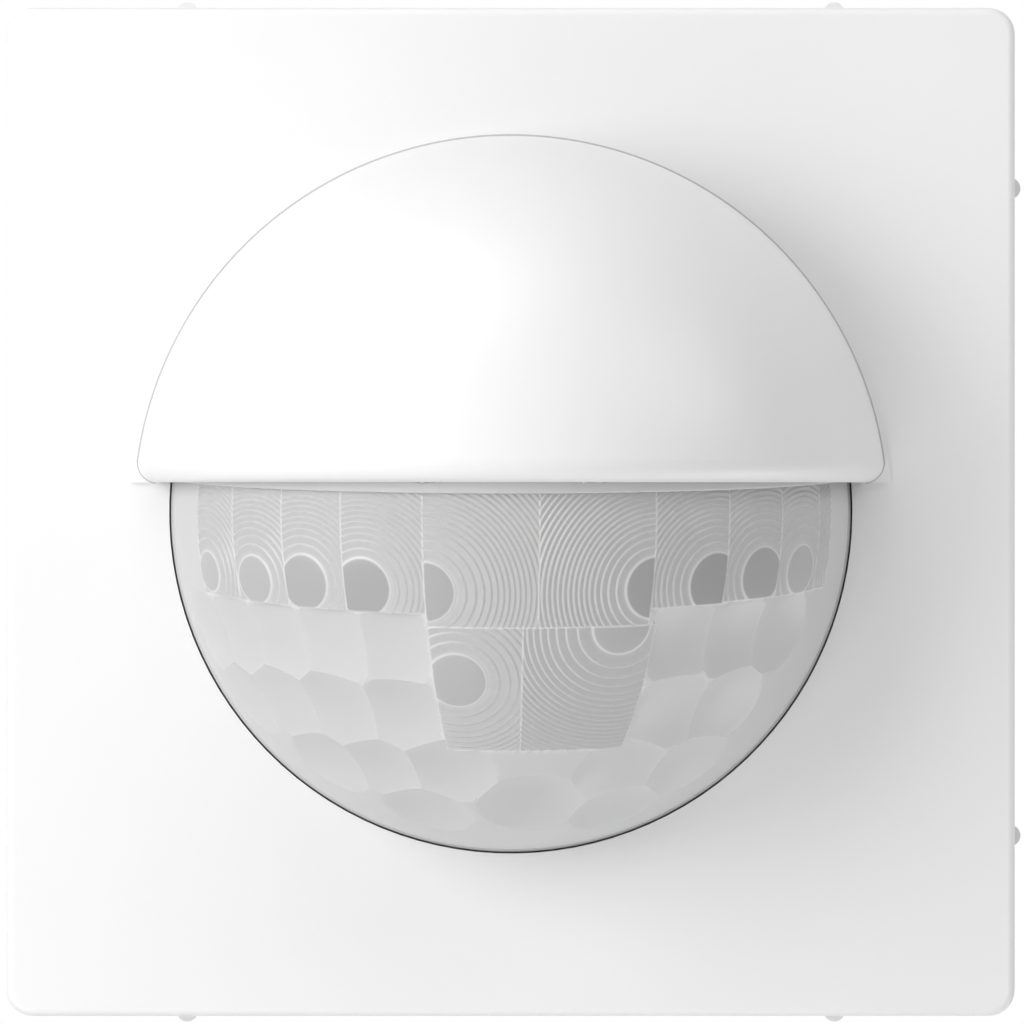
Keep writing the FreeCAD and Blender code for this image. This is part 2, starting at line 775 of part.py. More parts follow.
def dent_plug(dent, radius, size, tilt):
    """The space of one dent: a sphere of radius `size` that meets the dome at the dent's half width."""
    azimuth, elevation, half_width = dent
    half = math.radians(half_width)
    reach = radius * math.sin(half)
    centre = radius * math.cos(half) + math.sqrt(size ** 2 - reach ** 2)
    # past the dome's surface the plug runs on a little, so that the cut is clean
    last = math.asin(reach / size) * 1.1
    top = radius + size * (1 - math.cos(last))

    def spot(angle):
        return FreeCAD.Vector(size * math.sin(angle), 0, centre - size * math.cos(angle))

    side = spot(last)
    upper_side = FreeCAD.Vector(side.x, 0, top)
    upper_middle = FreeCAD.Vector(0, 0, top)
    path = [
        Part.Arc(spot(0), spot(last / 2), side).toShape(),
        Part.makeLine(side, upper_side),
        Part.makeLine(upper_side, upper_middle),
        Part.makeLine(upper_middle, spot(0)),
    ]
    plug = Part.Face(Part.Wire(path)).revolve(FreeCAD.Vector(), UP, 360)
    turn = FreeCAD.Rotation(UP, direction(azimuth, elevation, tilt))
    plug.Placement = FreeCAD.Placement(FreeCAD.Vector(), turn)
    return plug


def make_lens_blank():
    """The plain dome, solid inside, with its round foot."""
    body = new_body("lens_blank")
    NODES.remove(body)
    section = level_sketch(body, "section")
    foot_front = f"({SEAT_FRONT} + foot_wall)"
    polygon(section, [
        ("0", f"0 - {SEAT_FRONT}"),
        (LENS_FOOT, f"0 - {SEAT_FRONT}"),
        (LENS_FOOT, f"0 - {foot_front}"),
        ("lens_radius", f"0 - {foot_front}"),
        ("lens_radius", "0 - face_front"),
        ("0", "0 - face_front - lens_radius"),
    ], arcs=(4,))
    revolve(body, section)
    return body


def make_lens():
    blank = make_lens_blank()
    radius = number("lens_radius")
    rise = number("ring_rise")
    step = number("ring_step")
    tilt = number("lens_tilt")
    depth = -number("face_front")
    cells = [fresnel_cell(cell, radius, rise, step, tilt) for cell in FRESNEL_CELLS]
    dents = [dent_plug(dent, radius, number("dent_radius"), tilt) for dent in DENTS]
    for tool in cells + dents:
        tool.translate(FreeCAD.Vector(0, depth, 0))
    inner = number(LENS_INNER)
    hollow = Part.makeSphere(inner, FreeCAD.Vector(0, depth, 0))
    bore = Part.makeCylinder(inner, inner, FreeCAD.Vector(0, depth, 0), FreeCAD.Vector(0, 1, 0))
    lens = doc.addObject("Part::Feature", "lens")
    lens.Shape = blank.Shape.cut(dents).fuse(cells).cut([hollow, bore])
    NODES.append(lens)


# Seal that shows as the dark line round the lens

def make_lens_seal():
    body = new_body("lens_seal")
    ring = front_sketch(body, "ring", f"{SEAT_FRONT} + foot_wall")
    circle(ring, "0", "0", f"{SEAL_INNER} + seal_width")
    circle(ring, "0", "0", SEAL_INNER)
    pad(body, ring, "seal_wall")


# Housing of the sensor module

def make_module_front():
    body = new_body("module_front")
    outline = front_sketch(body, "outline", "module_rear")
    rounded(outline, MODULE_WIDTH, MODULE_WIDTH, "module_corner")
    pad(body, outline, "module_front - module_rear")
    chamfer(body, "small_edge", at_front("module_front"))
    hollow = front_sketch(body, "hollow", "module_rear")
    rounded(hollow, MODULE_INNER, MODULE_INNER, "module_corner - module_wall")
    pocket(body, hollow, "module_front - module_rear - module_face", to_room=True)
    disc(body, "collar", "module_front - module_face", "0", "0", COLLAR_RADIUS,
         "module_front - module_face - board_front", to_wall=True)
    seat = front_sketch(body, "seat", "module_front")
    circle(seat, "0", "0", SEAT_RADIUS)
    pocket(body, seat, "seat_depth")
    opening = front_sketch(body, "opening", "module_front")
    circle(opening, "0", "0", LENS_INNER)
    pocket(body, opening, "module_front - board_front")
    bores = front_sketch(body, "screw_bores", "board_front")
    for x, y in MODULE_SCREWS:
        circle(bores, x, y, "screw_radius")
    pocket(body, bores, "screw_bite", to_room=True)
    holes = front_sketch(body, "dial_holes", "module_front")
    for x, y in DIALS.values():
        circle(holes, x, y, "dial_radius + dial_gap")
    pocket(body, holes, "module_face")


def make_module_back():
    body = new_body("module_back")
    width = f"{MODULE_INNER} - 2 * fit_gap"
    outline = front_sketch(body, "outline", "module_rear")
    rounded(outline, width, width, "module_corner - module_wall - fit_gap")
    pad(body, outline, "rear_wall")
    posts = front_sketch(body, "posts", LID_FRONT)
    for x, y in MODULE_SCREWS:
        circle(posts, x, y, "post_radius")
    pad(body, posts, f"{BOARD_REAR} - {LID_FRONT}")
    window = front_sketch(body, "plug_window", LID_FRONT)
    block(window, "0", "0", "plug_width + 4 * fit_gap", "plug_height + 4 * fit_gap")
    pocket(body, window, "rear_wall")
    bores = front_sketch(body, "screw_bores", BOARD_REAR)
    for x, y in MODULE_SCREWS:
        circle(bores, x, y, "screw_radius + fit_gap")
    pocket(body, bores, f"{BOARD_REAR} - module_rear")
    heads = front_sketch(body, "screw_heads", "module_rear")
    for x, y in MODULE_SCREWS:
        circle(heads, x, y, "screw_head_radius + fit_gap")
    pocket(body, heads, "screw_head_wall", to_room=True)


def screws(name, places, head_front, head_radius, head_wall, shank_radius, shank_length, to_wall):
    """A set of slotted screws; heads on the side of the room have their shanks towards the wall."""
    body = new_body(name)
    heads = front_sketch(body, "heads", head_front)
    shanks = front_sketch(body, "shanks", head_front)
    outer = f"{head_front} + {head_wall}" if to_wall else f"{head_front} - {head_wall}"
    slots = front_sketch(body, "slots", outer)
    for x, y in places:
        circle(heads, x, y, head_radius)
        circle(shanks, x, y, shank_radius)
        block(slots, x, y, "screw_slot_length", "screw_slot")
    pad(body, heads, head_wall, to_wall=not to_wall)
    pad(body, shanks, shank_length, to_wall=to_wall)
    pocket(body, slots, "screw_slot_depth", to_room=not to_wall)


def make_module_screws():
    screws("module_screws", MODULE_SCREWS, "module_rear + screw_head_wall", "screw_head_radius",
           "screw_head_wall", "screw_radius", "board_front + screw_bite - module_rear - screw_head_wall",
           to_wall=False)


def make_sensor_board():
    body = new_body("sensor_pcb")
    width = f"{MODULE_INNER} - 4 * fit_gap"
    outline = front_sketch(body, "outline", BOARD_REAR)
    rounded(outline, width, width, "module_corner - module_wall - fit_gap")
    pad(body, outline, "board_wall")
    bores = front_sketch(body, "bores", "board_front")
    for x, y in MODULE_SCREWS:
        circle(bores, x, y, "screw_radius + fit_gap")
    pocket(body, bores, "board_wall")
    sockets = front_sketch(body, "spindle_bores", "board_front")
    for x, y in DIALS.values():
        circle(sockets, x, y, "spindle_radius + spindle_gap")
    pocket(body, sockets, "board_wall")


# Heat sensors on their angled bracket

def make_sensor_bracket():
    body = new_body("sensor_bracket")
    section = level_sketch(body, "section", "0 - bracket_width / 2")
    polygon(section, [
        ("0 - bracket_half", "0 - board_front"),
        ("0 - bracket_half", f"0 - {BRACKET_SHOULDER}"),
        ("0 - bracket_nose", "0 - board_front - bracket_rise"),
        ("bracket_nose", "0 - board_front - bracket_rise"),
        ("bracket_half", f"0 - {BRACKET_SHOULDER}"),
        ("bracket_half", "0 - board_front"),
    ])
    pad(body, section, "bracket_width")
    nose = number("board_front + bracket_rise")

    def nose_corner(edge):
        ends = [vertex.Point for vertex in edge.Vertexes]
        return all(abs(end.y + nose) < 1e-6 for end in ends) and abs(ends[0].z - ends[-1].z) > 1

    fillet(body, "case_edge", nose_corner)


def stand_on_slope(body, side, lift):
    """Puts a body whose foot is at the origin on the bracket's slope, `lift` above it."""
    axis = FreeCAD.Vector(0, 0, side)
    turn = FreeCAD.Rotation(axis, number(BRACKET_SLOPE))
    body.Placement = FreeCAD.Placement(FreeCAD.Vector(0, 0, 0), turn)
    across = f"((bracket_half + bracket_nose) / 2 + ({lift}) * sin({BRACKET_SLOPE}))"
    bind(body, "Placement.Base.x", across if side > 0 else f"0 - {across}")
    bind(body, "Placement.Base.y",
         f"0 - board_front - (bracket_rise + bracket_foot) / 2 - ({lift}) * cos({BRACKET_SLOPE})")
    bind(body, "Placement.Rotation.Angle", BRACKET_SLOPE)


def make_heat_sensor(hand, side):
    can = new_body(f"pyro_{hand}")
    disc(can, "flange", "0", "0", "0", "can_flange_radius", "can_flange_wall")
    disc(can, "can", "can_flange_wall", "0", "0", "can_radius", "can_height - can_flange_wall")
    fillet(can, "small_edge", at_front("can_height"))
    seat = front_sketch(can, "window_seat", "can_height")
    block(seat, "0", "0", "window_width", "window_height")
    pocket(can, seat, "window_wall")
    stand_on_slope(can, side, "0")
    window = new_body(f"pyro_window_{hand}")
    brick(window, "pane", "0", "0", "0", "window_width - fit_gap", "window_height - fit_gap", "window_wall")
    stand_on_slope(window, side, "can_height - window_wall")


# Light sensor, lamp and light guide on the board

def make_light_parts():
    for name, side in (("light_sensor", ""), ("status_led", "-")):
        body = new_body(name)
        brick(body, "case", "board_front", f"{side}light_spread", "0 - light_down", "chip_width",
              "chip_height", "chip_wall")
        chamfer(body, "small_edge", at_front("board_front + chip_wall"))
    guide = new_body("light_guide")
    rod_start = "(board_front + chip_wall)"
    disc(guide, "rod", rod_start, "-light_spread", "0 - light_down", "guide_radius", "guide_length")
    fillet(guide, "case_edge", at_front(f"{rod_start} + guide_length"))


# Setting dials and their trimmers

def make_dial(name, x, y):
    base_front = "(dial_top - dial_wall)"
    trimmer = new_body(f"{name}_trimmer")
    brick(trimmer, "case", "board_front", x, y, "trimmer_width", "trimmer_width", "trimmer_wall")
    bore = front_sketch(trimmer, "bore", "board_front + trimmer_wall")
    circle(bore, x, y, "spindle_radius + spindle_gap")
    pocket(trimmer, bore, "trimmer_wall")
    dial = new_body(f"{name}_dial")
    disc(dial, "knob", base_front, x, y, "dial_radius", "dial_wall")
    chamfer(dial, "small_edge", at_front("dial_top"))
    disc(dial, "spindle", base_front, x, y, "spindle_radius",
         f"{base_front} - board_front + spindle_length", to_wall=True)
    cut = front_sketch(dial, "screwdriver_slot", "dial_top")
    block(cut, x, y, "dial_slot_width", "dial_slot_length")
    pocket(dial, cut, "dial_slot_depth")


# Plug connection between the module and the insert

def make_plug():
    plug = new_body("module_plug")
    brick(plug, "case", "plug_rear", "0", "0", "plug_width", "plug_height", f"{BOARD_REAR} - plug_rear")
    holes = front_sketch(plug, "pin_holes", "plug_rear")
    pins = new_body("plug_pins")
    pin_end = "(plug_rear - pin_length)"
    pin_foot = front_sketch(pins, "pins", pin_end)
    socket = new_body("insert_socket")
    brick(socket, "case", "power_front", "0", "0", "plug_width", "plug_height",
          "plug_rear - fit_gap - power_front")
    wells = front_sketch(socket, "pin_wells", "plug_rear - fit_gap")
    first = "(0 - pin_pitch * (pin_count - 1) / 2)"
    for row_side in ("", "-"):
        up = f"{row_side}pin_pitch / 2"
        block(holes, first, up, "pin_width", "pin_width")
        block(pin_foot, first, up, "pin_width", "pin_width")
        block(wells, first, up, "pin_width + 2 * pin_gap", "pin_width + 2 * pin_gap")
    span = "pin_pitch * (pin_count - 1)"
    repeat_across(plug, pocket(plug, holes, f"{BOARD_REAR} - plug_rear", to_room=True), span, "pin_count")
    repeat_across(pins, pad(pins, pin_foot, f"{BOARD_REAR} - {pin_end}"), span, "pin_count")
    repeat_across(socket, pocket(socket, wells, "pin_length + 3 * fit_gap"), span, "pin_count")


# Steel support ring

def make_support_ring():
    body = new_body("support_ring")
    outline = front_sketch(body, "outline", "0")
    rounded(outline, "ring_width", "ring_width", "ring_corner")
    pad(body, outline, "ring_wall")
    opening = front_sketch(body, "opening", "ring_wall")
    circle(opening, "0", "0", RING_OPENING)
    pocket(body, opening, "ring_wall")
    slots = front_sketch(body, "height_slots", "ring_wall")
    for side in ("", "-"):
        slot(slots, "0", f"{side}box_screw_pitch / 2", "box_slot_length", "box_slot_radius")
    pocket(body, slots, "ring_wall")
    arcs = front_sketch(body, "level_slots", "ring_wall")
    for side in ("", "-"):
        slot(arcs, f"{side}box_screw_pitch / 2", "0", "box_arc", "box_slot_radius")
    pocket(body, arcs, "ring_wall")
    holes = front_sketch(body, "screw_holes", "ring_wall")
    for x, y in RING_SCREWS:
        circle(holes, x, y, "screw_radius + fit_gap")
    for side in ("", "-"):
        circle(holes, f"{side}{CLAW_SCREW}", "0", "claw_screw_radius + spindle_gap")
    pocket(body, holes, "ring_wall")
    hooks = front_sketch(body, "claw_slots", "ring_wall")
    for side in ("", "-"):
        block(hooks, f"{side}({CLAW_WEB} + claw_wall / 2)", "0", "claw_wall + 2 * claw_tab_gap",
              "2 * (claw_tab_half + claw_tab_gap)")
    pocket(body, hooks, "ring_wall")


def make_ring_screws():
    screws("ring_screws", RING_SCREWS, "ring_wall", "screw_head_radius", "screw_head_wall",
           "screw_radius", "ring_wall + front_wall + screw_bite", to_wall=True)


# Plastic insert in the wall box

def claw_recesses(body, name, front, length):
    """Cuts the two open recesses in which the claws lie."""
    sketch = front_sketch(body, name, front)
    for side in ("", "-"):
        block(sketch, f"{side}({RECESS_INNER} + insert_radius) / 2", "0", "recess_depth",
              "2 * recess_half")
    return pocket(body, sketch, length)


def make_insert_front():
    body = new_body("insert_front")
    disc(body, "flange", "0 - front_wall", "0", "0", "insert_radius", "front_wall")
    disc(body, "boss", "0", "0", "0", BOSS_RADIUS, "ring_wall")
    posts = front_sketch(body, "posts", "0 - front_wall")
    for x, y in RING_SCREWS:
        circle(posts, x, y, "post_radius")
    pad(body, posts, "0 - front_wall - power_front", to_wall=True)
    bores = front_sketch(body, "screw_bores", "0")
    for x, y in RING_SCREWS:
        circle(bores, x, y, "screw_radius")
    pocket(body, bores, "front_wall + screw_bite")
    window = front_sketch(body, "socket_window", "ring_wall")
    block(window, "0", "0", "plug_width + 4 * fit_gap", "plug_height + 4 * fit_gap")
    pocket(body, window, "ring_wall + front_wall")
    claw_recesses(body, "claw_recesses", "0", "front_wall")


def make_insert_housing():
    body = new_body("insert_housing")
    disc(body, "cup", INSERT_REAR, "0", "0", "insert_radius", "insert_depth - front_wall")
    claw_recesses(body, "claw_recesses", "0 - front_wall", "insert_depth - front_wall")
    chamfer(body, "insert_wall", at_front(INSERT_REAR))
    depth = "insert_depth - front_wall - insert_wall"
    inner_half = "(recess_half + insert_wall)"
    segment = front_sketch(body, "cavity_segment", "0 - front_wall")
    cap_segment(segment, "insert_radius - insert_wall", inner_half)
    mirror(body, pocket(body, segment, depth), "XY_Plane")
    middle = front_sketch(body, "cavity_middle", "0 - front_wall")
    block(middle, "0", "0", f"2 * ({RECESS_INNER} - insert_wall)", f"2 * {inner_half}")
    pocket(body, middle, depth)
    window = front_sketch(body, "terminal_window", f"{INSERT_REAR} + insert_wall")
    block(window, "0", TERMINAL_MIDDLE, f"{TERMINAL_WIDTH} + 2 * fit_gap",
          f"{TERMINAL_HEIGHT} + 2 * fit_gap")
    pocket(body, window, "insert_wall")


def make_power_board():
    body = new_body("power_pcb")
    disc(body, "outline", POWER_REAR, "0", "0", "insert_radius - insert_wall - power_gap", "power_wall")
    notches = front_sketch(body, "notches", "power_front")
    notch_width = "2 * (recess_depth + insert_wall + power_gap)"
    notch_height = "2 * (recess_half + insert_wall + power_gap)"
    for side in ("", "-"):
        block(notches, f"{side}insert_radius", "0", notch_width, notch_height)
    pocket(body, notches, "power_wall")


# Parts on the power board

def make_power_parts():
    relay = new_body("relay")
    brick(relay, "case", POWER_REAR, "0", "relay_up", "relay_width", "relay_height", "relay_depth",
          to_wall=True)
    chamfer(relay, "case_edge", at_front(f"{POWER_REAR} - relay_depth"))

    film = new_body("suppression_capacitor")
    brick(film, "case", POWER_REAR, "0", "film_up", "film_width", "film_height", "film_depth",
          to_wall=True)
    chamfer(film, "case_edge", at_front(f"{POWER_REAR} - film_depth"))

    can = new_body("smoothing_capacitor")
    disc(can, "case", POWER_REAR, "can_cap_across", "can_cap_up", "can_cap_radius", "can_cap_depth",
         to_wall=True)
    fillet(can, "case_edge", at_front(f"{POWER_REAR} - can_cap_depth"))

    varistor = new_body("varistor")
    brick(varistor, "leads", POWER_REAR, "varistor_across", "varistor_up", "varistor_wall / 2",
          "varistor_radius", "varistor_lead + varistor_radius / 2", to_wall=True)
    side = plane_sketch(varistor, "disc", "YZ_Plane")
    bind(side, "AttachmentOffset.Base.z", "varistor_across - varistor_wall / 2")
    circle(side, f"0 - {POWER_REAR} + varistor_lead + varistor_radius", "varistor_up", "varistor_radius")
    pad(varistor, side, "varistor_wall")

    choke = new_body("choke")
    disc(choke, "foot", POWER_REAR, "0", "choke_up", "choke_radius", "choke_end", to_wall=True)
    disc(choke, "core", POWER_REAR, "0", "choke_up", "choke_waist", "choke_depth", to_wall=True)
    disc(choke, "head", f"{POWER_REAR} - choke_depth", "0", "choke_up", "choke_radius", "choke_end")

    fuse = new_body("fuse")
    disc(fuse, "case", POWER_REAR, f"{FUSE_CIRCLE} * cos(fuse_angle)", f"{FUSE_CIRCLE} * sin(fuse_angle)",
         "fuse_radius", "fuse_depth", to_wall=True)
    fillet(fuse, "case_edge", at_front(f"{POWER_REAR} - fuse_depth"))

    bridge = new_body("bridge_rectifier")
    brick(bridge, "case", POWER_REAR, f"{BRIDGE_CIRCLE} * cos(bridge_angle)",
          f"{BRIDGE_CIRCLE} * sin(bridge_angle)", "bridge_width", "bridge_height", "bridge_depth",
          to_wall=True)
    chamfer(bridge, "case_edge", at_front(f"{POWER_REAR} - bridge_depth"))


# Mains terminals

def make_terminals():
    block_body = new_body("terminal_block")
    brick(block_body, "case", INSERT_REAR, "0", TERMINAL_MIDDLE, TERMINAL_WIDTH, TERMINAL_HEIGHT,
          "terminal_depth")
    wires = front_sketch(block_body, "wire_holes", INSERT_REAR)
    circle(wires, TERMINAL_FIRST, WIRE_UP, "wire_radius")
    repeat_across(block_body, pocket(block_body, wires, "terminal_depth", to_room=True), TERMINAL_SPAN,
                  "terminal_count")
    wells = front_sketch(block_body, "screw_wells", INSERT_REAR)
    circle(wells, TERMINAL_FIRST, WELL_UP, "well_radius")
    repeat_across(block_body, pocket(block_body, wells, "well_depth", to_room=True), TERMINAL_SPAN,
                  "terminal_count")

    clamp = new_body("terminal_screws")
    well_floor = f"({INSERT_REAR} + well_depth)"
    screw = disc(clamp, "screw", well_floor, TERMINAL_FIRST, WELL_UP, "clamp_screw_radius",
                 "clamp_screw_length", to_wall=True)
    cut = front_sketch(clamp, "slot", f"{well_floor} - clamp_screw_length")
    block(cut, TERMINAL_FIRST, WELL_UP, "3 * clamp_screw_radius", "screw_slot")
    slotted = pocket(clamp, cut, "screw_slot_depth", to_room=True)
    row = repeat_across(clamp, screw, TERMINAL_SPAN, "terminal_count")
    row.Originals = [screw, slotted]
    doc.recompute()

    bars = new_body("terminal_bars")
    bar_front = f"({INSERT_REAR} + terminal_depth)"
    bar = brick(bars, "bar", bar_front, TERMINAL_FIRST, TERMINAL_MIDDLE, "bar_width", "bar_wall",
                f"{POWER_REAR} - {bar_front}")
    repeat_across(bars, bar, TERMINAL_SPAN, "terminal_count")


# Spreading claws

def make_claw(hand, side):
    """A bent steel channel hooked into the ring; its screw runs inside it and through its forked foot."""
    sign = "" if side > 0 else "-"
    body = new_body(f"claw_{hand}")
    length = "(claw_front - claw_end)"
    mid = f"{sign}({CLAW_FLANGE_LOW} + {CLAW_WEB} + claw_wall) / 2"
    width = f"({CLAW_WEB} + claw_wall - {CLAW_FLANGE_LOW})"
    inside_mid = f"{sign}({CLAW_FLANGE_LOW} + {CLAW_WEB}) / 2 - {sign}claw_wall / 2"
    inside_width = f"({CLAW_WEB} - {CLAW_FLANGE_LOW} + claw_wall)"
    channel = front_sketch(body, "channel", "claw_front")
    block(channel, mid, "0", width, "2 * claw_half")
    pad(body, channel, length, to_wall=True)
    inside = front_sketch(body, "inside", "claw_front")
    block(inside, inside_mid, "0", inside_width, "2 * (claw_half - claw_wall)")
    pocket(body, inside, length)
    foot = front_sketch(body, "foot", "claw_foot")
    block(foot, mid, "0", width, "2 * (claw_half - claw_wall / 2)")
    pad(body, foot, "claw_wall", to_wall=True)
    fork = front_sketch(body, "fork", "claw_foot")
    block(fork, inside_mid, "0", f"{inside_width} - 2 * spindle_gap", "2 * claw_fork_half")
    pocket(body, fork, "claw_wall")
    tab = front_sketch(body, "tab", "claw_front")
    block(tab, f"{sign}({CLAW_WEB} + claw_wall / 2)", "0", "claw_wall", "2 * claw_tab_half")
    pad(body, tab, "claw_tab_front - claw_front")
    teeth = level_sketch(body, "teeth", "0 - claw_half")
    outer = f"({CLAW_WEB} + claw_wall)"
    polygon(teeth, [
        (f"{sign}{CLAW_WEB}", "0 - claw_end - 2 * claw_tooth"),
        (f"{sign}{outer}", "0 - claw_end - 2 * claw_tooth"),
        (f"{sign}({outer} + claw_tooth)", "0 - claw_end"),
        (f"{sign}{CLAW_WEB}", "0 - claw_end"),
    ])
    pad(body, teeth, "2 * claw_half")
    gaps = front_sketch(body, "tooth_gaps", "claw_end + 2 * claw_tooth")
    for up in ("claw_half / 2", "0 - claw_half / 2"):
        block(gaps, f"{sign}({outer} + claw_tooth / 2)", up, "claw_tooth", "claw_tooth_gap")
    pocket(body, gaps, "2 * claw_tooth")
    screw = new_body(f"claw_screw_{hand}")
    disc(screw, "head", "ring_wall", f"{sign}{CLAW_SCREW}", "0", "claw_screw_head", "claw_head_wall")
    fillet(screw, "case_edge", at_front("ring_wall + claw_head_wall"))
    disc(screw, "shank", "ring_wall", f"{sign}{CLAW_SCREW}", "0", "claw_screw_radius",
         "ring_wall - claw_screw_end", to_wall=True)
    cut = front_sketch(screw, "slot", "ring_wall + claw_head_wall")
    block(cut, f"{sign}{CLAW_SCREW}", "0", "3 * claw_screw_head", "screw_slot + spindle_gap")
    pocket(screw, cut, "2 * screw_slot_depth")


make_cover_plate()
make_hood()
make_lens()
make_lens_seal()
make_module_front()
make_module_back()
make_module_screws()
make_sensor_board()
make_sensor_bracket()
for hand, side in (("left", -1), ("right", 1)):
    make_heat_sensor(hand, side)
make_light_parts()
for name, (x, y) in DIALS.items():
    make_dial(name, x, y)
make_plug()
make_support_ring()
make_ring_screws()
make_insert_front()
make_insert_housing()
make_power_board()
make_power_parts()
make_terminals()
for hand, side in (("left", -1), ("right", 1)):
    make_claw(hand, side)
doc.recompute()

for item in doc.Objects:
    if "Invalid" in item.State or "Error" in item.State:
        raise ValueError(f"{item.Name} failed")
os.makedirs("parts", exist_ok=True)
for node in NODES:
    shape = node.Shape
    if shape.isNull() or not shape.isValid() or not shape.Solids:
        raise ValueError(f"{node.Label} has no valid shape")
    print(node.Label, len(shape.Solids), round(shape.Volume, 2))
    shape.exportStep(f"parts/{node.Label}.step")
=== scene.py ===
import itertools
import json
import math
from collections import namedtuple

import bmesh
import bpy
import numpy as np
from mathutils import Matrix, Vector, kdtree
from mathutils.geometry import delaunay_2d_cdt


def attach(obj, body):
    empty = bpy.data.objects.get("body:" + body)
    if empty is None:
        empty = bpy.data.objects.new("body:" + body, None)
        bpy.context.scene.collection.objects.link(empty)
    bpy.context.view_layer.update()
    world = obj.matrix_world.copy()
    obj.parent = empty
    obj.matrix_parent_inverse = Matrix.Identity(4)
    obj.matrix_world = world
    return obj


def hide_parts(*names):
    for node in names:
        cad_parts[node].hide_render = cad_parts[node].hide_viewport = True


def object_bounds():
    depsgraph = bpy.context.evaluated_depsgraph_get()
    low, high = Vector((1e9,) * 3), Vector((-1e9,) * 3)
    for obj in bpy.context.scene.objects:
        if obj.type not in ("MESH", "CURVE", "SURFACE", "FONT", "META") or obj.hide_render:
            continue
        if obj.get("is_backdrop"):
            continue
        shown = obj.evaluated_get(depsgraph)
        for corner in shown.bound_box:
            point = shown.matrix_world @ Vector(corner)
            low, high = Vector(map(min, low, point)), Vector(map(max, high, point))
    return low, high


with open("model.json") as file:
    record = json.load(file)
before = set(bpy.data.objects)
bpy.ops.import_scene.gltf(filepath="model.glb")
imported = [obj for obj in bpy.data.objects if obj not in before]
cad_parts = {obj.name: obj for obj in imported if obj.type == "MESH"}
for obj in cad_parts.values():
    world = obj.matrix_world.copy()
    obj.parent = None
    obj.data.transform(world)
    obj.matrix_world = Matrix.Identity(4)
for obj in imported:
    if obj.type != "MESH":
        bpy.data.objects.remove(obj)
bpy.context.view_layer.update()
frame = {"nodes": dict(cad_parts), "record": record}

MM = 0.001
nodes = frame["nodes"]


# Procedural materials

# Part of a noise's range that nearly all of its values fall in
NOISE_LOW = 0.3
NOISE_HIGH = 0.7

# Plastic: scale of its clouds, scale and spread of its roughness, scale and depth of its fine grain
CLOUD_SCALE = 60.0
GLOSS_SCALE = 180.0
GLOSS_SPREAD = 0.04
FINE_SCALE = 2600.0
FINE_GRAIN = 0.000004

# Coarser grain of rubber and of the plastic behind the plate
COARSE_SCALE = 1800.0
COARSE_GRAIN = 0.00001

# Metal: scale and depth of its streaks, scale and strength of its tarnish
STREAK_SCALE = 900.0
METAL_GRAIN = 0.000005
TARNISH_SCALE = 140.0
TARNISH = 0.08

# Tones of the lens: between the cells, its lighter clouds, on a disc, and the painted highlight on
# a ring line or cell border
LENS_MILKY = (0.575, 0.575, 0.575)
LENS_CLOUDS = 1.03
LENS_DISC = (0.355, 0.355, 0.355)
LENS_RIDGE_HIGHLIGHT = (0.70, 0.70, 0.70)


class Nodes:
    """Short calls that add shader nodes to a material and link them."""

    def __init__(self, name):
        self.material = bpy.data.materials.new(name)
        self.material.use_nodes = True
        self.tree = self.material.node_tree
        self.tree.nodes.clear()
        self.surface = self.add("ShaderNodeBsdfPrincipled")
        output = self.add("ShaderNodeOutputMaterial")
        self.link(self.surface.outputs["BSDF"], output.inputs["Surface"])
        self.place = self.add("ShaderNodeTexCoord").outputs["Object"]

    def add(self, kind, **inputs):
        node = self.tree.nodes.new(kind)
        for key, value in inputs.items():
            node.inputs[key.replace("_", " ")].default_value = value
        return node

    def link(self, start, end):
        self.tree.links.new(start, end)

    def noise(self, scale, detail=3.0, stretch=None):
        """Noise over the object's own coordinates, stretched along some axes for brushed metal."""
        node = self.add("ShaderNodeTexNoise", Scale=scale, Detail=detail, Roughness=0.5)
        place = self.place
        if stretch:
            mapping = self.add("ShaderNodeMapping")
            mapping.inputs["Scale"].default_value = stretch
            self.link(place, mapping.inputs["Vector"])
            place = mapping.outputs["Vector"]
        self.link(place, node.inputs["Vector"])
        return node.outputs["Fac"]

    def span(self, value, low, high):
        """A value from a noise spread over a range."""
        node = self.add("ShaderNodeMapRange", From_Min=NOISE_LOW, From_Max=NOISE_HIGH,
                        To_Min=low, To_Max=high)
        self.link(value, node.inputs["Value"])
        return node.outputs["Result"]

    def blend(self, factor, first, second):
        """Colour mixed by a factor; each colour is a tuple or a socket."""
        node = self.add("ShaderNodeMix")
        node.data_type = "RGBA"
        self.link(factor, node.inputs["Factor"])
        for key, value in (("A", first), ("B", second)):
            socket = [s for s in node.inputs if s.name == key and s.type == "RGBA"][0]
            if isinstance(value, tuple):
                socket.default_value = value + (1.0,)
            else:
                self.link(value, socket)
        return [s for s in node.outputs if s.type == "RGBA"][0]

    def bump(self, height, depth):
        """Fine relief, with its depth in metres."""
        node = self.add("ShaderNodeBump", Strength=1.0, Distance=depth)
        self.link(height, node.inputs["Height"])
        self.link(node.outputs["Normal"], self.surface.inputs["Normal"])

    def set(self, **inputs):
        """Sets or links inputs of the surface shader."""
        for key, value in inputs.items():
            socket = self.surface.inputs[key.replace("_", " ")]
            if hasattr(value, "is_output"):
                self.link(value, socket)
            else:
                socket.default_value = value


def shade(color, factor):
    """A colour made lighter or darker."""
    return tuple(min(1.0, part * factor) for part in color)


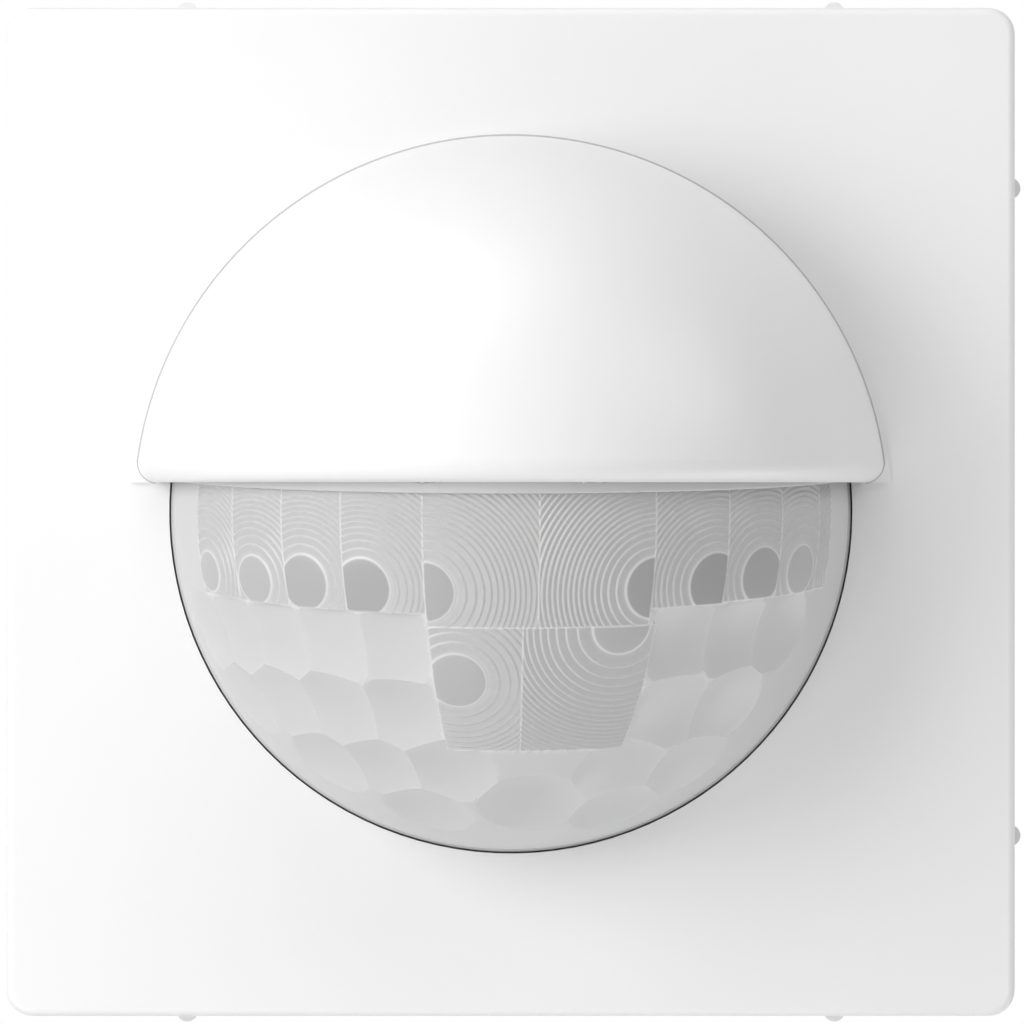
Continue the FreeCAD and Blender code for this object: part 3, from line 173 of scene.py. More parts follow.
def plastic(name, color, roughness, grain=FINE_GRAIN, grain_scale=FINE_SCALE,
            specular=0.5, vary=0.03):
    """Moulded plastic: a faint cloudy tone, fine grain and slightly uneven gloss."""
    n = Nodes(name)
    cloud = n.span(n.noise(CLOUD_SCALE, 2.0), 0.0, 1.0)
    n.set(Base_Color=n.blend(cloud, shade(color, 1 - vary), shade(color, 1 + vary)),
          Roughness=n.span(n.noise(GLOSS_SCALE), roughness - GLOSS_SPREAD,
                           roughness + GLOSS_SPREAD),
          Specular_IOR_Level=specular)
    n.bump(n.noise(grain_scale, 2.0), grain)
    return n.material


def metal(name, color, roughness, stretch):
    """Drawn or brushed metal with streaks and a faint tarnish."""
    n = Nodes(name)
    streaks = n.noise(STREAK_SCALE, 4.0, stretch)
    cloud = n.noise(TARNISH_SCALE, 4.0)
    n.set(Base_Color=n.blend(n.span(cloud, 0.0, 1.0), shade(color, 1 - TARNISH),
                             shade(color, 1 + TARNISH)),
          Metallic=1.0,
          Roughness=n.span(streaks, roughness - 0.08, roughness + 0.1))
    n.bump(streaks, METAL_GRAIN)
    return n.material


def board_material():
    """Green solder mask with copper tracks showing through."""
    n = Nodes("board")
    fields = n.add("ShaderNodeTexVoronoi", Scale=320.0, Randomness=0.75)
    fields.feature = "DISTANCE_TO_EDGE"
    n.link(n.place, fields.inputs["Vector"])
    track = n.add("ShaderNodeMapRange", From_Min=0.05, From_Max=0.09, To_Min=1.0, To_Max=0.0)
    n.link(fields.outputs["Distance"], track.inputs["Value"])
    cloud = n.span(n.noise(90.0), 0.0, 1.0)
    mask = n.blend(cloud, (0.012, 0.11, 0.04), (0.02, 0.15, 0.06))
    n.set(Base_Color=n.blend(track.outputs["Result"], mask, (0.06, 0.26, 0.10)), Roughness=0.3)
    n.bump(track.outputs["Result"], 0.00003)
    return n.material


def clear_material():
    """Clear plastic of the light guide, slightly cloudy."""
    n = Nodes("clear_plastic")
    cloud = n.span(n.noise(200.0), 0.0, 1.0)
    n.set(Base_Color=n.blend(cloud, (0.80, 0.84, 0.86), (0.90, 0.92, 0.93)),
          Transmission_Weight=0.75, Roughness=n.span(n.noise(300.0), 0.05, 0.12), IOR=1.49)
    n.bump(n.noise(900.0, 2.0), 0.000002)
    return n.material


def glass_material():
    """Dark polished filter window of a heat sensor."""
    n = Nodes("filter_glass")
    cloud = n.span(n.noise(300.0), 0.0, 1.0)
    n.set(Base_Color=n.blend(cloud, (0.035, 0.02, 0.03), (0.06, 0.035, 0.05)),
          Roughness=n.span(n.noise(250.0), 0.04, 0.12), Coat_Weight=0.6, Coat_Roughness=0.05)
    n.bump(n.noise(500.0, 2.0), 0.000002)
    return n.material


def lens_material():
    """Milky plastic: thin discs let the dark inside through; painted highlight on ring lines."""
    n = Nodes("lens_plastic")
    disc = n.add("ShaderNodeAttribute")
    disc.attribute_name = "disc"
    ridge = n.add("ShaderNodeAttribute")
    ridge.attribute_name = "ridge"
    cloud = n.span(n.noise(120.0, 3.0), 0.0, 1.0)
    milky = n.blend(cloud, LENS_MILKY, shade(LENS_MILKY, LENS_CLOUDS))
    with_disc = n.blend(disc.outputs["Fac"], milky, LENS_DISC)
    # painted highlight: ring lines and cell borders are painted lighter than the milky tone
    n.set(Base_Color=n.blend(ridge.outputs["Fac"], with_disc, LENS_RIDGE_HIGHLIGHT),
          Roughness=n.span(n.noise(240.0), 0.34, 0.42), Specular_IOR_Level=0.4,
          Subsurface_Weight=0.25, Subsurface_Radius=(1.0, 1.0, 1.0), Subsurface_Scale=0.0015)
    n.bump(n.noise(1500.0, 2.0), 0.000002)
    return n.material


materials = {
    "white_plastic": plastic("white_plastic", (0.83, 0.83, 0.83), 0.36, specular=0.4, vary=0.006),
    "lens_plastic": lens_material(),
    "seal_rubber": plastic("seal_rubber", (0.46, 0.46, 0.46), 0.75, COARSE_GRAIN, COARSE_SCALE),
    "module_plastic": plastic("module_plastic", (0.05, 0.05, 0.055), 0.5,
                              COARSE_GRAIN, COARSE_SCALE),
    "insert_plastic": plastic("insert_plastic", (0.45, 0.45, 0.43), 0.5,
                              COARSE_GRAIN, COARSE_SCALE),
    "board": board_material(),
    "steel": metal("steel", (0.60, 0.61, 0.62), 0.34, (1.0, 1.0, 0.06)),
    "can_metal": metal("can_metal", (0.70, 0.70, 0.72), 0.28, (1.0, 0.08, 1.0)),
    "filter_glass": glass_material(),
    "dial_plastic": plastic("dial_plastic", (0.72, 0.72, 0.69), 0.42),
    "clear_plastic": clear_material(),
    "black_plastic": plastic("black_plastic", (0.018, 0.018, 0.02), 0.42, grain=0.000008),
    "blue_plastic": plastic("blue_plastic", (0.03, 0.10, 0.36), 0.38),
    "yellow_plastic": plastic("yellow_plastic", (0.62, 0.42, 0.06), 0.40),
    "copper": metal("copper", (0.72, 0.33, 0.16), 0.3, (1.0, 0.1, 1.0)),
    "brass": metal("brass", (0.76, 0.58, 0.26), 0.3, (0.1, 1.0, 1.0)),
}

slot_of = {part["node"]: part["material_slot"] for part in frame["record"]["subparts"]}
for name, node in nodes.items():
    node.data.materials.clear()
    node.data.materials.append(materials[slot_of[name]])


# Lens dome, in millimetres about the dome's middle until it is placed

# Radii of the dome, its lip and its foot, their places along Y, and the tilt of the cells
DOME = 23.5
DOME_INNER = 22.3
DOME_FRONT = -11.0
LENS_LIP = 23.67
LIP_DEPTH = 0.15
SKIRT_REAR = -8.5
FOOT_REAR = -7.6
FOOT = 25.4
TILT = math.radians(6.5)

# Length of one degree on the dome
DEGREE = math.radians(1) * DOME

# Half width of a cell's border and the place of its inner line, widths of the risers, heights of
# rings and discs, and the least pitch, reach and margin of the rings in degrees
EDGE = 0.04
BORDER_SHIFT = 2.6
RISER = 0.15
DISC_RISER = 0.26
RING_RISE = 0.075
RISE_SHARE = 0.22
DISC_RISE = 0.04
DISC_MARGIN = 0.01
LEAST_PITCH = 0.9
RING_END = 32
RING_MARGIN = 0.3

# How light the painted highlight lines are, and where the painted highlight of the ring lines fades
LINE_PEAK = 1.35
LINE_FALL = 2.1
DISC_HIGHLIGHT = 0.8
RING_HIGHLIGHT = 0.35
RING_TONE = 0.40
BORDER_HIGHLIGHT = 0.7
BORDER_REACH = 1.6
BORDER_MARGIN = 1.5
HIGHLIGHT_LEAST = 0.55
HIGHLIGHT_REACH = 5.0
HIGHLIGHT_LOW = 0.5
HIGHLIGHT_SPAN = 6.0

# Net of the lens: steps along a line, round a dent and in the fields, where the fine field ends,
# and the angles from the front at which dents and net end
LINE_STEP = 0.3
LEAST_COUNT = 40
DENT_STEP = 0.2
FINE_STEP = 0.36
COARSE_STEP = 0.9
CLEAR_SHARE = 0.42
FINE_TOP = 15
FINE_FRONT = -0.18
NET_END = 89.3
DENT_END = 88
SAME_PLACE = 0.004
SAME_RIM = 1e-4
MERGE = 1e-6
AROUND = 240
BANDS = 30

# Angles in degrees above which an edge is sharp
SHARP_LENS = 14
SHARP_STRIP = 60

# Stand-ins for a distance without end and for a divisor of nothing
FAR = 1e9
TINY = 1e-6
TINIEST = 1e-12

# Cells of rings: their sides, place and radius of the disc, all in degrees, the constant that the
# pitch of the rings shrinks by, and the tone of the disc
Cell = namedtuple("Cell", "left right low high azimuth elevation radius shrink tone")
CELLS = [
    Cell(-67.5, -55, -11.2, 14, -63.4, -7.2, 3.2, 20, 0.50),
    Cell(-55, -42.4, -11.2, 14, -49.4, -7.3, 3.9, 20, 0.58),
    Cell(-42.4, -30, -11.2, 14, -37.7, -6.8, 4.5, 20, 0.78),
    Cell(-30, -15.1, -11.2, 14, -26.0, -7.0, 4.8, 20, 0.95),
    Cell(-15.1, 4.9, -13.4, 14, -14.8, -7.3, 4.9, 26, 0.80),
    Cell(4.9, 25.3, -13.4, 14, 25.3, -7.0, 5.1, 22, 0.95),
    Cell(25.3, 40, -10.6, 14, 37.2, -6.9, 5.0, 22, 1.05),
    Cell(40, 53, -10.4, 14, 48.0, -6.4, 4.6, 22, 0.85),
    Cell(53, 65.5, -10.6, 14, 59.2, -6.5, 4.0, 22, 0.55),
    Cell(65.5, 71, -10.6, 14, 76.5, -6.4, 4.4, 22, 0.40),
    Cell(-15.1, 2.2, -38.1, -13.4, -10.0, -23.3, 4.8, 28, 0.62),
    Cell(2.2, 26.8, -38.1, -13.4, 19.6, -13.4, 4.8, 34, 0.55),
]

# Where the dents begin, in degrees: sides of the middle block, level left, right and below it
BLOCK_LEFT = -15.1
BLOCK_RIGHT = 26.8
DENTS_LEFT = -11.2
DENTS_RIGHT = -10.6
DENTS_BELOW = -38.1

# Dents of the lower rows: azimuth and elevation of the middle, and half the width, in degrees
DENTS = [
    (-68.9, -18.5, 7.4), (-58.0, -17.6, 7.8), (-46.1, -17.4, 8.0), (-33.4, -17.5, 8.1),
    (-20.9, -17.3, 8.1), (31.8, -17.0, 8.1), (44.0, -17.0, 8.1), (56.2, -17.0, 8.0),
    (-64.0, -30.8, 7.4), (-50.4, -30.6, 8.2), (-36.2, -30.9, 8.6), (-21.6, -31.2, 8.6),
    (33.0, -31.3, 8.6), (47.6, -31.0, 8.4),
    (-47.4, -43.6, 8.0), (-31.8, -44.1, 8.2), (-15.2, -44.0, 8.6), (27.0, -44.4, 8.8),
    (46.6, -44.4, 8.2),
    (-26.3, -56.6, 8.0), (5.8, -53.6, 9.2), (33.6, -56.4, 8.0),
]
DENT_SPHERE = 10.0


def unit(azimuth, elevation):
    """Direction with an azimuth and an elevation that are tilted together."""
    a, e = math.radians(azimuth), math.radians(elevation)
    x, y, z = math.sin(a) * math.cos(e), -math.cos(a) * math.cos(e), math.sin(e)
    return np.array([x, y * math.cos(TILT) - z * math.sin(TILT),
                     y * math.sin(TILT) + z * math.cos(TILT)])


def spot(azimuth, elevation):
    """Direction with an azimuth about the upright axis and an elevation about the tilted axis."""
    a = math.radians(azimuth)
    across, along = math.cos(a) * math.sin(TILT), math.cos(TILT)
    reach = math.hypot(across, along)
    rise = math.asin(math.sin(math.radians(elevation)) / reach) - math.atan2(across, along)
    return np.array([math.sin(a) * math.cos(rise), -math.cos(a) * math.cos(rise), math.sin(rise)])


def flatten(points):
    """Directions to a flat map in which distances from the front of the dome stay true."""
    points = np.atleast_2d(points)
    side = np.hypot(points[:, 0], points[:, 2])
    angle = np.arctan2(side, -points[:, 1])
    factor = DOME * angle / np.maximum(side, TINIEST)
    return points[:, [0, 2]] * factor[:, None]


def unflatten(flat):
    """Points of the flat map back to directions."""
    flat = np.atleast_2d(flat)
    reach = np.hypot(flat[:, 0], flat[:, 1])
    angle = reach / DOME
    factor = np.sin(angle) / np.maximum(reach, TINIEST)
    return np.stack([flat[:, 0] * factor, -np.cos(angle), flat[:, 1] * factor], axis=1)


def places(points):
    """Azimuth about the upright axis and elevation about the tilted axis, in degrees."""
    azimuth = np.degrees(np.arctan2(points[:, 0], -points[:, 1]))
    level = -points[:, 1] * math.sin(TILT) + points[:, 2] * math.cos(TILT)
    return azimuth, np.degrees(np.arcsin(np.clip(level, -1, 1)))


def in_cell(cell, azimuth, elevation, margin=0.0):
    """Which places lie in a cell, or nearer to it than a margin in degrees."""
    left, right, low, high = cell[:4]
    return ((azimuth >= left - margin) & (azimuth < right + margin)
            & (elevation >= low - margin) & (elevation < high + margin))


def in_dents(azimuth, elevation):
    """Which places lie in the region of the dents."""
    return (((azimuth < BLOCK_LEFT) & (elevation < DENTS_LEFT))
            | ((azimuth > BLOCK_RIGHT) & (elevation < DENTS_RIGHT))
            | (elevation < DENTS_BELOW))


def ring_angles(cell):
    """Angles of the rings: their pitch shrinks with the distance, but not below a limit."""
    angles = [cell.radius]
    while angles[-1] < RING_END:
        angles.append(max(math.sqrt(angles[-1] ** 2 + cell.shrink), angles[-1] + LEAST_PITCH))
    return np.array(angles)


disc_directions = [unit(cell.azimuth, cell.elevation) for cell in CELLS]
cell_rings = [ring_angles(cell) for cell in CELLS]


def dent_centre(azimuth, elevation, half_width):
    """Middle of the sphere that meets the dome at the dent's half width."""
    half = math.radians(half_width)
    reach = DOME * math.cos(half) + math.sqrt(DENT_SPHERE ** 2 - (DOME * math.sin(half)) ** 2)
    return unit(azimuth, elevation) * reach


dent_centres = [dent_centre(*dent) for dent in DENTS]


def dent_reach(points):
    """Distance of the nearest dent surface from the dome's middle along each direction."""
    reach = np.full(len(points), FAR)
    for centre in dent_centres:
        along = points @ centre
        inside = DENT_SPHERE ** 2 - centre @ centre + along ** 2
        near = np.where(inside > 0, along - np.sqrt(np.maximum(inside, 0)), FAR)
        reach = np.minimum(reach, near)
    return reach


def relief(points):
    """Distance of the outer surface from the dome's middle, disc mask and painted highlight mask.
    """
    azimuth, elevation = places(points)
    height = np.full(len(points), DOME)
    disc_mask = np.zeros(len(points))
    ridge = np.zeros(len(points))
    dented = in_dents(azimuth, elevation)
    height[dented] = np.minimum(DOME, dent_reach(points[dented]))
    for cell, toward, rings in zip(CELLS, disc_directions, cell_rings):
        inside = in_cell(cell, azimuth, elevation) & ~dented
        angle = np.degrees(np.arccos(np.clip(points[inside] @ toward, -1, 1)))
        index = np.searchsorted(rings, angle, side="right")
        on_disc = angle < cell.radius + DISC_MARGIN
        start = rings[np.maximum(index - 1, 0)]
        end = rings[np.minimum(index, len(rings) - 1)]
        past = (angle - start) * DEGREE
        pitch = np.maximum((end - start) * DEGREE, TINY)
        riser = np.where(index == 1, DISC_RISER, RISER)
        top = np.minimum(RING_RISE, RISE_SHARE * pitch)
        fall = np.where(index == 1, RING_RISE, top) * (1 - past / riser)
        climb = top * np.clip((past - riser) / np.maximum(pitch - riser, TINY), 0, 1)
        tall = DOME + np.where(past < riser, fall, climb)
        dome_share = 1 - (angle / cell.radius) ** 2
        # painted highlight: the ring lines are painted lighter near the top of the lens and round
        # the discs
        near_disc = np.exp(-(angle - cell.radius) / HIGHLIGHT_REACH)
        near_top = np.clip((elevation[inside] - HIGHLIGHT_LOW) / HIGHLIGHT_SPAN, 0, 1)
        highlight_share = HIGHLIGHT_LEAST + near_disc + near_top
        tall = np.where(on_disc, DOME + RING_RISE + DISC_RISE * dome_share, tall)
        line = np.clip(LINE_PEAK - np.abs(past / riser - 0.5) * LINE_FALL, 0, 1)
        strength = np.where(index == 1, DISC_HIGHLIGHT, RING_HIGHLIGHT * highlight_share)
        ridge[inside] = np.where(on_disc, 0, line) * strength
        height[inside] = tall
        disc_mask[inside] = np.where(on_disc, cell.tone, RING_TONE)
    return height, disc_mask, ridge


def run_of(points, keep):
    """Runs of kept points that follow each other, without runs of one point."""
    runs, run = [], []
    for point, kept in zip(points, keep):
        if kept:
            run.append(point)
        elif run:
            runs.append(run)
            run = []
    if run:
        runs.append(run)
    return [r for r in runs if len(r) > 1]


lines = []
edge_angle = math.degrees(EDGE / DOME)


def side_points(first, last, fixed, upright):
    """Points along one side of a cell, upright or level."""
    count = max(2, int(abs(last - first) * DEGREE / LINE_STEP))
    steps = np.linspace(first, last, count)
    return np.array([spot(fixed, s) if upright else spot(s, fixed) for s in steps])


def outside_all(points):
    """Which points lie in no cell."""
    azimuth, elevation = places(points)
    taken = np.zeros(len(points), bool)
    for cell in CELLS:
        taken |= in_cell(cell, azimuth, elevation)
    return ~taken


def circle(middle, radius, across, upward, count):
    """Points round a middle, with the first one again at the end."""
    turn = np.linspace(0, 2 * math.pi, count + 1)
    return middle + radius * (np.cos(turn)[:, None] * across + np.sin(turn)[:, None] * upward)


# Sides of the cells: a line just inside, one just outside and one further in
for cell in CELLS:
    left, right, low, high = cell[:4]
    for shift in (edge_angle, -edge_angle, BORDER_SHIFT * edge_angle):
        for fixed, upright in ((left + shift, True), (right - shift, True), (low + shift, False),
                               (high - shift, False)):
            first, last = (low + shift, high - shift) if upright else (left + shift, right - shift)
            points = side_points(first, last, fixed, upright)
            keep = outside_all(points) if shift < 0 else np.ones(len(points), bool)
            lines += run_of(flatten(points), keep)

# Ring lines: each ring's crest, the middle and the foot of its riser, and the middle of its slope
for cell, toward, rings in zip(CELLS, disc_directions, cell_rings):
    across = np.cross(toward, [0.0, 0.0, 1.0])
    across /= np.linalg.norm(across)
    upward = np.cross(across, toward)
    for order, angle in enumerate(rings[:-1]):
        pitch = math.radians(rings[order + 1] - angle) * DOME
        riser = DISC_RISER if order == 0 else RISER
        for shift in (0.0, riser / 2, riser, (riser + pitch) / 2):
            opening = math.radians(angle) + shift / DOME
            around = 2 * math.pi * DOME * math.sin(opening)
            count = max(LEAST_COUNT, int(around / LINE_STEP))
            points = circle(math.cos(opening) * toward, math.sin(opening), across, upward, count)
            azimuth, elevation = places(points)
            lines += run_of(flatten(points), in_cell(cell, azimuth, elevation, RING_MARGIN))

# Ridges between neighbouring dents: the circle in which their two spheres meet
OBLIQUE = [0.31, 0.52, 0.8]
for first, second in itertools.combinations(dent_centres, 2):
    gap = second - first
    distance = np.linalg.norm(gap)
    if distance >= 2 * DENT_SPHERE:
        continue
    along = distance / 2
    radius = math.sqrt(DENT_SPHERE ** 2 - along ** 2)
    axis = gap / distance
    across = np.cross(axis, OBLIQUE)
    across /= np.linalg.norm(across)
    upward = np.cross(axis, across)
    count = int(2 * math.pi * radius / DENT_STEP)
    points = circle(first + along * axis, radius, across, upward, count)
    reach = np.linalg.norm(points, axis=1)
    directions = points / reach[:, None]
    azimuth, elevation = places(directions)
    near = np.minimum(dent_reach(directions), DOME)
    keep = ((np.abs(near - reach) < SAME_PLACE) & in_dents(azimuth, elevation)
            & (directions[:, 1] < -math.cos(math.radians(DENT_END))))
    lines += run_of(flatten(directions), keep)

# The edge of the map, where the dome meets its round skirt
MAP_RADIUS = DOME * math.pi / 2
rim_turns = np.linspace(0, 2 * math.pi, AROUND, endpoint=False)
rim = np.stack([np.cos(rim_turns), np.sin(rim_turns)], axis=1) * MAP_RADIUS
points_flat = [Vector(p) for p in rim]
edges = [(k, (k + 1) % AROUND) for k in range(AROUND)]
limit = DOME * math.radians(NET_END)
for line in lines:
    start = len(points_flat)
    kept = [p for p in line if math.hypot(p[0], p[1]) < limit]
    points_flat += [Vector(p) for p in kept]
    edges += [(k, k + 1) for k in range(start, start + len(kept) - 1)]

tree = kdtree.KDTree(len(points_flat))
for index, point in enumerate(points_flat):
    tree.insert((point[0], point[1], 0.0), index)
tree.balance()


def fill(step, wanted):
    """Points of a triangular net that lie in a wanted region, clear of the lines."""
    height = step * math.sqrt(3) / 2
    rows = int(MAP_RADIUS / height) + 1
    made = []
    for row in range(-rows, rows + 1):
        count = int(MAP_RADIUS / step) + 1
        shift = step / 2 if row % 2 else 0.0
        for column in range(-count, count + 1):
            made.append((column * step + shift, row * height))
    made = np.array(made)
    made = made[np.hypot(made[:, 0], made[:, 1]) < limit - step / 3]
    directions = unflatten(made)
    azimuth, elevation = places(directions)
    made = made[wanted(azimuth, elevation, directions)]
    return [p for p in made if tree.find((p[0], p[1], 0.0))[2] > step * CLEAR_SHARE]


def fine_region(azimuth, elevation, directions):
    """The front of the dome, from below the hood down."""
    return (elevation < FINE_TOP) & (directions[:, 1] < FINE_FRONT)


fine = fill(FINE_STEP, fine_region)
coarse = fill(COARSE_STEP, lambda a, e, d: ~fine_region(a, e, d))
points_flat += [Vector(p) for p in fine + coarse]

made_points, _, made_faces, _, _, _ = delaunay_2d_cdt(points_flat, edges, [], 0, MERGE)
flat = np.array([(p[0], p[1]) for p in made_points])
directions = unflatten(flat)
height, disc_mask, ridge_highlight_mask = relief(directions)
on_rim = np.hypot(flat[:, 0], flat[:, 1]) > MAP_RADIUS - SAME_RIM
height[on_rim] = DOME

# Painted highlight: a light line along each riser and cell border
azimuth, elevation = places(directions)
border = ridge_highlight_mask.copy()
for left, right, low, high, *_ in CELLS:
    inside = in_cell((left, right, low, high), azimuth, elevation, edge_angle * BORDER_MARGIN)
    squeeze = np.cos(np.radians(elevation))
    to_side = np.minimum.reduce([
        np.abs(azimuth - left) * squeeze, np.abs(azimuth - right) * squeeze,
        np.abs(elevation - low), np.abs(elevation - high)]) * DEGREE
    on_border = inside & (to_side < EDGE * BORDER_REACH)
    border = np.maximum(border, np.where(on_border, BORDER_HIGHLIGHT, 0.0))

vertices = [tuple(v) for v in directions * height[:, None]]
triangles = [tuple(face) for face in made_faces]

rim_indices = np.nonzero(on_rim)[0]
rim_order = rim_indices[np.argsort(np.arctan2(flat[rim_indices, 1], flat[rim_indices, 0]))]
assert len(rim_order) == AROUND, len(rim_order)


def ring_points(radius, depth):
    """Adds a ring in line with the rim's points and gives its indices."""
    start = len(vertices)
    for index in rim_order:
        x, z = directions[index][0], directions[index][2]
        side = math.hypot(x, z)
        vertices.append((x / side * radius, depth, z / side * radius))
    return list(range(start, start + AROUND))


def join(first, second):
    """Adds the faces between two rings."""
    for k in range(AROUND):
        m = (k + 1) % AROUND
        triangles.append((first[k], first[m], second[m], second[k]))


# Skirt, foot and inside of the lens, as radius and depth behind the dome's middle
SKIRT = SKIRT_REAR - DOME_FRONT
FOOT_DEPTH = FOOT_REAR - DOME_FRONT
previous = [int(index) for index in rim_order]
profile = [(LENS_LIP, LIP_DEPTH), (LENS_LIP, SKIRT * 0.5), (LENS_LIP, SKIRT), (FOOT, SKIRT),
           (FOOT, FOOT_DEPTH), (DOME_INNER, FOOT_DEPTH), (DOME_INNER, 0.0)]
for k in range(1, BANDS):
    angle = math.pi / 2 * (1 - k / BANDS)
    profile.append((DOME_INNER * math.sin(angle), -DOME_INNER * math.cos(angle)))
for radius, depth in profile:
    following = ring_points(radius, depth)
    join(previous, following)
    previous = following
pole = len(vertices)
vertices.append((0.0, -DOME_INNER, 0.0))
for k in range(AROUND):
    triangles.append((previous[k], previous[(k + 1) % AROUND], pole))


def closed_mesh(name, points, faces):
    """A mesh whose faces all look outwards."""
    made = bpy.data.meshes.new(name)
    made.from_pydata(points, [], faces)
    tool = bmesh.new()
    tool.from_mesh(made)
    bmesh.ops.recalc_face_normals(tool, faces=tool.faces)
    tool.to_mesh(made)
    tool.free()
    return made


def add_piece(name, made, sharp, slot):
    """An object with a smooth mesh, sharp where its faces meet at more than an angle."""
    made.polygons.foreach_set("use_smooth", np.ones(len(made.polygons), bool))
    made.set_sharp_from_angle(angle=math.radians(sharp))
    made.materials.append(materials[slot])
    piece = bpy.data.objects.new(name, made)
    bpy.context.scene.collection.objects.link(piece)
    return piece


placed = [(x * MM, (y + DOME_FRONT) * MM, z * MM) for x, y, z in vertices]
mesh = closed_mesh("lens_dome", placed, triangles)
for name, values in (("disc", disc_mask), ("ridge", border)):
    layer = mesh.attributes.new(name, "FLOAT", "POINT")
    whole = np.zeros(len(mesh.vertices), np.float32)
    whole[:len(values)] = values
    layer.data.foreach_set("value", whole)
dome = add_piece("lens_dome", mesh, SHARP_LENS, "lens_plastic")
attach(dome, "root")
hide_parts("lens")
print("lens_dome", len(mesh.vertices), len(mesh.polygons))


# Plain band of the lens above its rings

# Its radii and top, level and fall of its lower edge, reach to each side in degrees, and chamfer
BAND_INNER = 23.3
BAND_OUTER = 23.95
BAND_TOP = 5.0
BAND_LEVEL = 2.42
BAND_FALL = 0.0487
BAND_REACH = 72
BAND_EDGE = 0.1
BAND_ROUNDS = 4


def band_point(azimuth, radius, lift):
    """A point of the band at a height above its lower edge, which falls towards the front; no lift
    means its top."""
    a = math.radians(azimuth)
    height = BAND_LEVEL
    for _ in range(BAND_ROUNDS):
        height = BAND_LEVEL - BAND_FALL * math.sqrt(radius ** 2 - height ** 2) * math.cos(a)
    height = BAND_TOP if lift is None else height + lift
    side = math.sqrt(radius ** 2 - height ** 2)
    return side * math.sin(a) * MM, (DOME_FRONT - side * math.cos(a)) * MM, height * MM


def strip(name, rows, slot, body):
    """A closed bar through rows of section points, with both ends shut."""
    size = len(rows[0])
    corners = [point for row in rows for point in row]
    sides = []
    for k in range(len(rows) - 1):
        for m in range(size):
            n = (m + 1) % size
            sides.append((k * size + m, k * size + n, (k + 1) * size + n, (k + 1) * size + m))
    sides.append(tuple(range(size)))
    sides.append(tuple((len(rows) - 1) * size + m for m in reversed(range(size))))
    bar = add_piece(name, closed_mesh(name, corners, sides), SHARP_STRIP, slot)
    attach(bar, body)


band_section = [(BAND_INNER, None), (BAND_INNER, BAND_EDGE), (BAND_INNER + BAND_EDGE, 0.0),
                (BAND_OUTER - BAND_EDGE, 0.0), (BAND_OUTER, BAND_EDGE), (BAND_OUTER, None)]
band_rows = [[band_point(azimuth, radius, lift) for radius, lift in band_section]
             for azimuth in range(-BAND_REACH, BAND_REACH + 1)]
strip("lens_top_band", band_rows, "lens_plastic", "root")


# Fine dark seam in the crease between the hood's dome and its flange: a grey strip whose dark tone
# is painted shadow of the seam's gap

# Radius and level of the crease, sides, front and depth of the seam, and a corner of the crease
SEAM_RADIUS = 26.195
SEAM_LEVEL = -11.5
SEAM_INSIDE = 0.07
SEAM_OUTSIDE = 0.12
SEAM_FRONT = 0.16
SEAM_SINK = 0.01
CORNER = (24.58, 3.5)
CORNER_SIZE = (1.38, 1.45)
CORNER_TURN = 85
CORNER_ROWS = 9
ARC_ROWS = 160

# Rows along the seam: a point of the crease and the direction away from the dome
first_turn = math.asin(CORNER[1] / SEAM_RADIUS)
seam_rows = []
for turn in np.linspace(-math.radians(CORNER_TURN), 0, CORNER_ROWS + 1)[:-1]:
    x = CORNER[0] + CORNER_SIZE[0] * math.cos(turn)
    z = CORNER[1] + CORNER_SIZE[1] * math.sin(turn)
    seam_rows.append(((x, z), (math.cos(turn), math.sin(turn))))
for turn in np.linspace(first_turn, math.pi - first_turn, ARC_ROWS):
    away = (math.cos(turn), math.sin(turn))
    seam_rows.append(((SEAM_RADIUS * away[0], SEAM_RADIUS * away[1]), away))
for (x, z), (across, along) in reversed(seam_rows[:CORNER_ROWS]):
    seam_rows.append(((-x, z), (-across, along)))


def seam_point(row, out, front):
    """A point of the seam's section at a row."""
    (x, z), (across, along) = row
    return (x + out * across) * MM, (SEAM_LEVEL + SEAM_SINK - front) * MM, (z + out * along) * MM


seam_section = [(-SEAM_INSIDE, 0.0), (-SEAM_INSIDE, SEAM_FRONT), (SEAM_OUTSIDE, 0.0)]
# painted shadow: the grey rubber strip stands in for the shade inside the seam
strip("hood_seam_shade", [[seam_point(row, out, front) for out, front in seam_section]
                    for row in seam_rows], "seal_rubber", "cover")


# Floor, light and camera

FLOOR_SIZE = 4.0
FLOOR_LEVEL = -0.30
FLOOR_LIFT = 0.45
SOFT_LIGHT = 0.401
WHITE = (1.0, 1.0, 1.0, 1.0)
LAMP_SIZE = 0.16
LAMP_TARGET = (0.0, -0.01, 0.0)

# Place and power of each lamp
LAMPS = {
    "key": ((-0.18, -0.16, 0.05), 0.348),
    "top": ((-0.05, -0.10, 0.24), 0.187),
    "rim": ((0.24, -0.14, 0.18), 0.185),
    "front_low": ((-0.06, -0.22, -0.12), 0.106),
    "fill": ((0.0, -0.12, -0.22), 0.068),
    "fill_left": ((-0.14, -0.12, -0.17), 0.046),
    "side": ((0.20, 0.018, -0.22), 0.17),
}

# The camera looks straight at the plate from far away, as the photograph does
CAMERA_PLACE = (0.000084, -1.9924, -0.000007)
CAMERA_LENS = 1000.0
SENSOR_WIDTH = 36.0


def seen_directly(tree):
    """1 for what is seen directly, in a mirror or through glass; 0 for light on other surfaces."""
    path = tree.nodes.new("ShaderNodeLightPath")
    either = tree.nodes.new("ShaderNodeMath")
    either.operation = "MAXIMUM"
    tree.links.new(path.outputs["Is Glossy Ray"], either.inputs[0])
    tree.links.new(path.outputs["Is Transmission Ray"], either.inputs[1])
    direct = tree.nodes.new("ShaderNodeMath")
    direct.operation = "MAXIMUM"
    tree.links.new(path.outputs["Is Camera Ray"], direct.inputs[0])
    tree.links.new(either.outputs["Value"], direct.inputs[1])
    return direct.outputs["Value"]


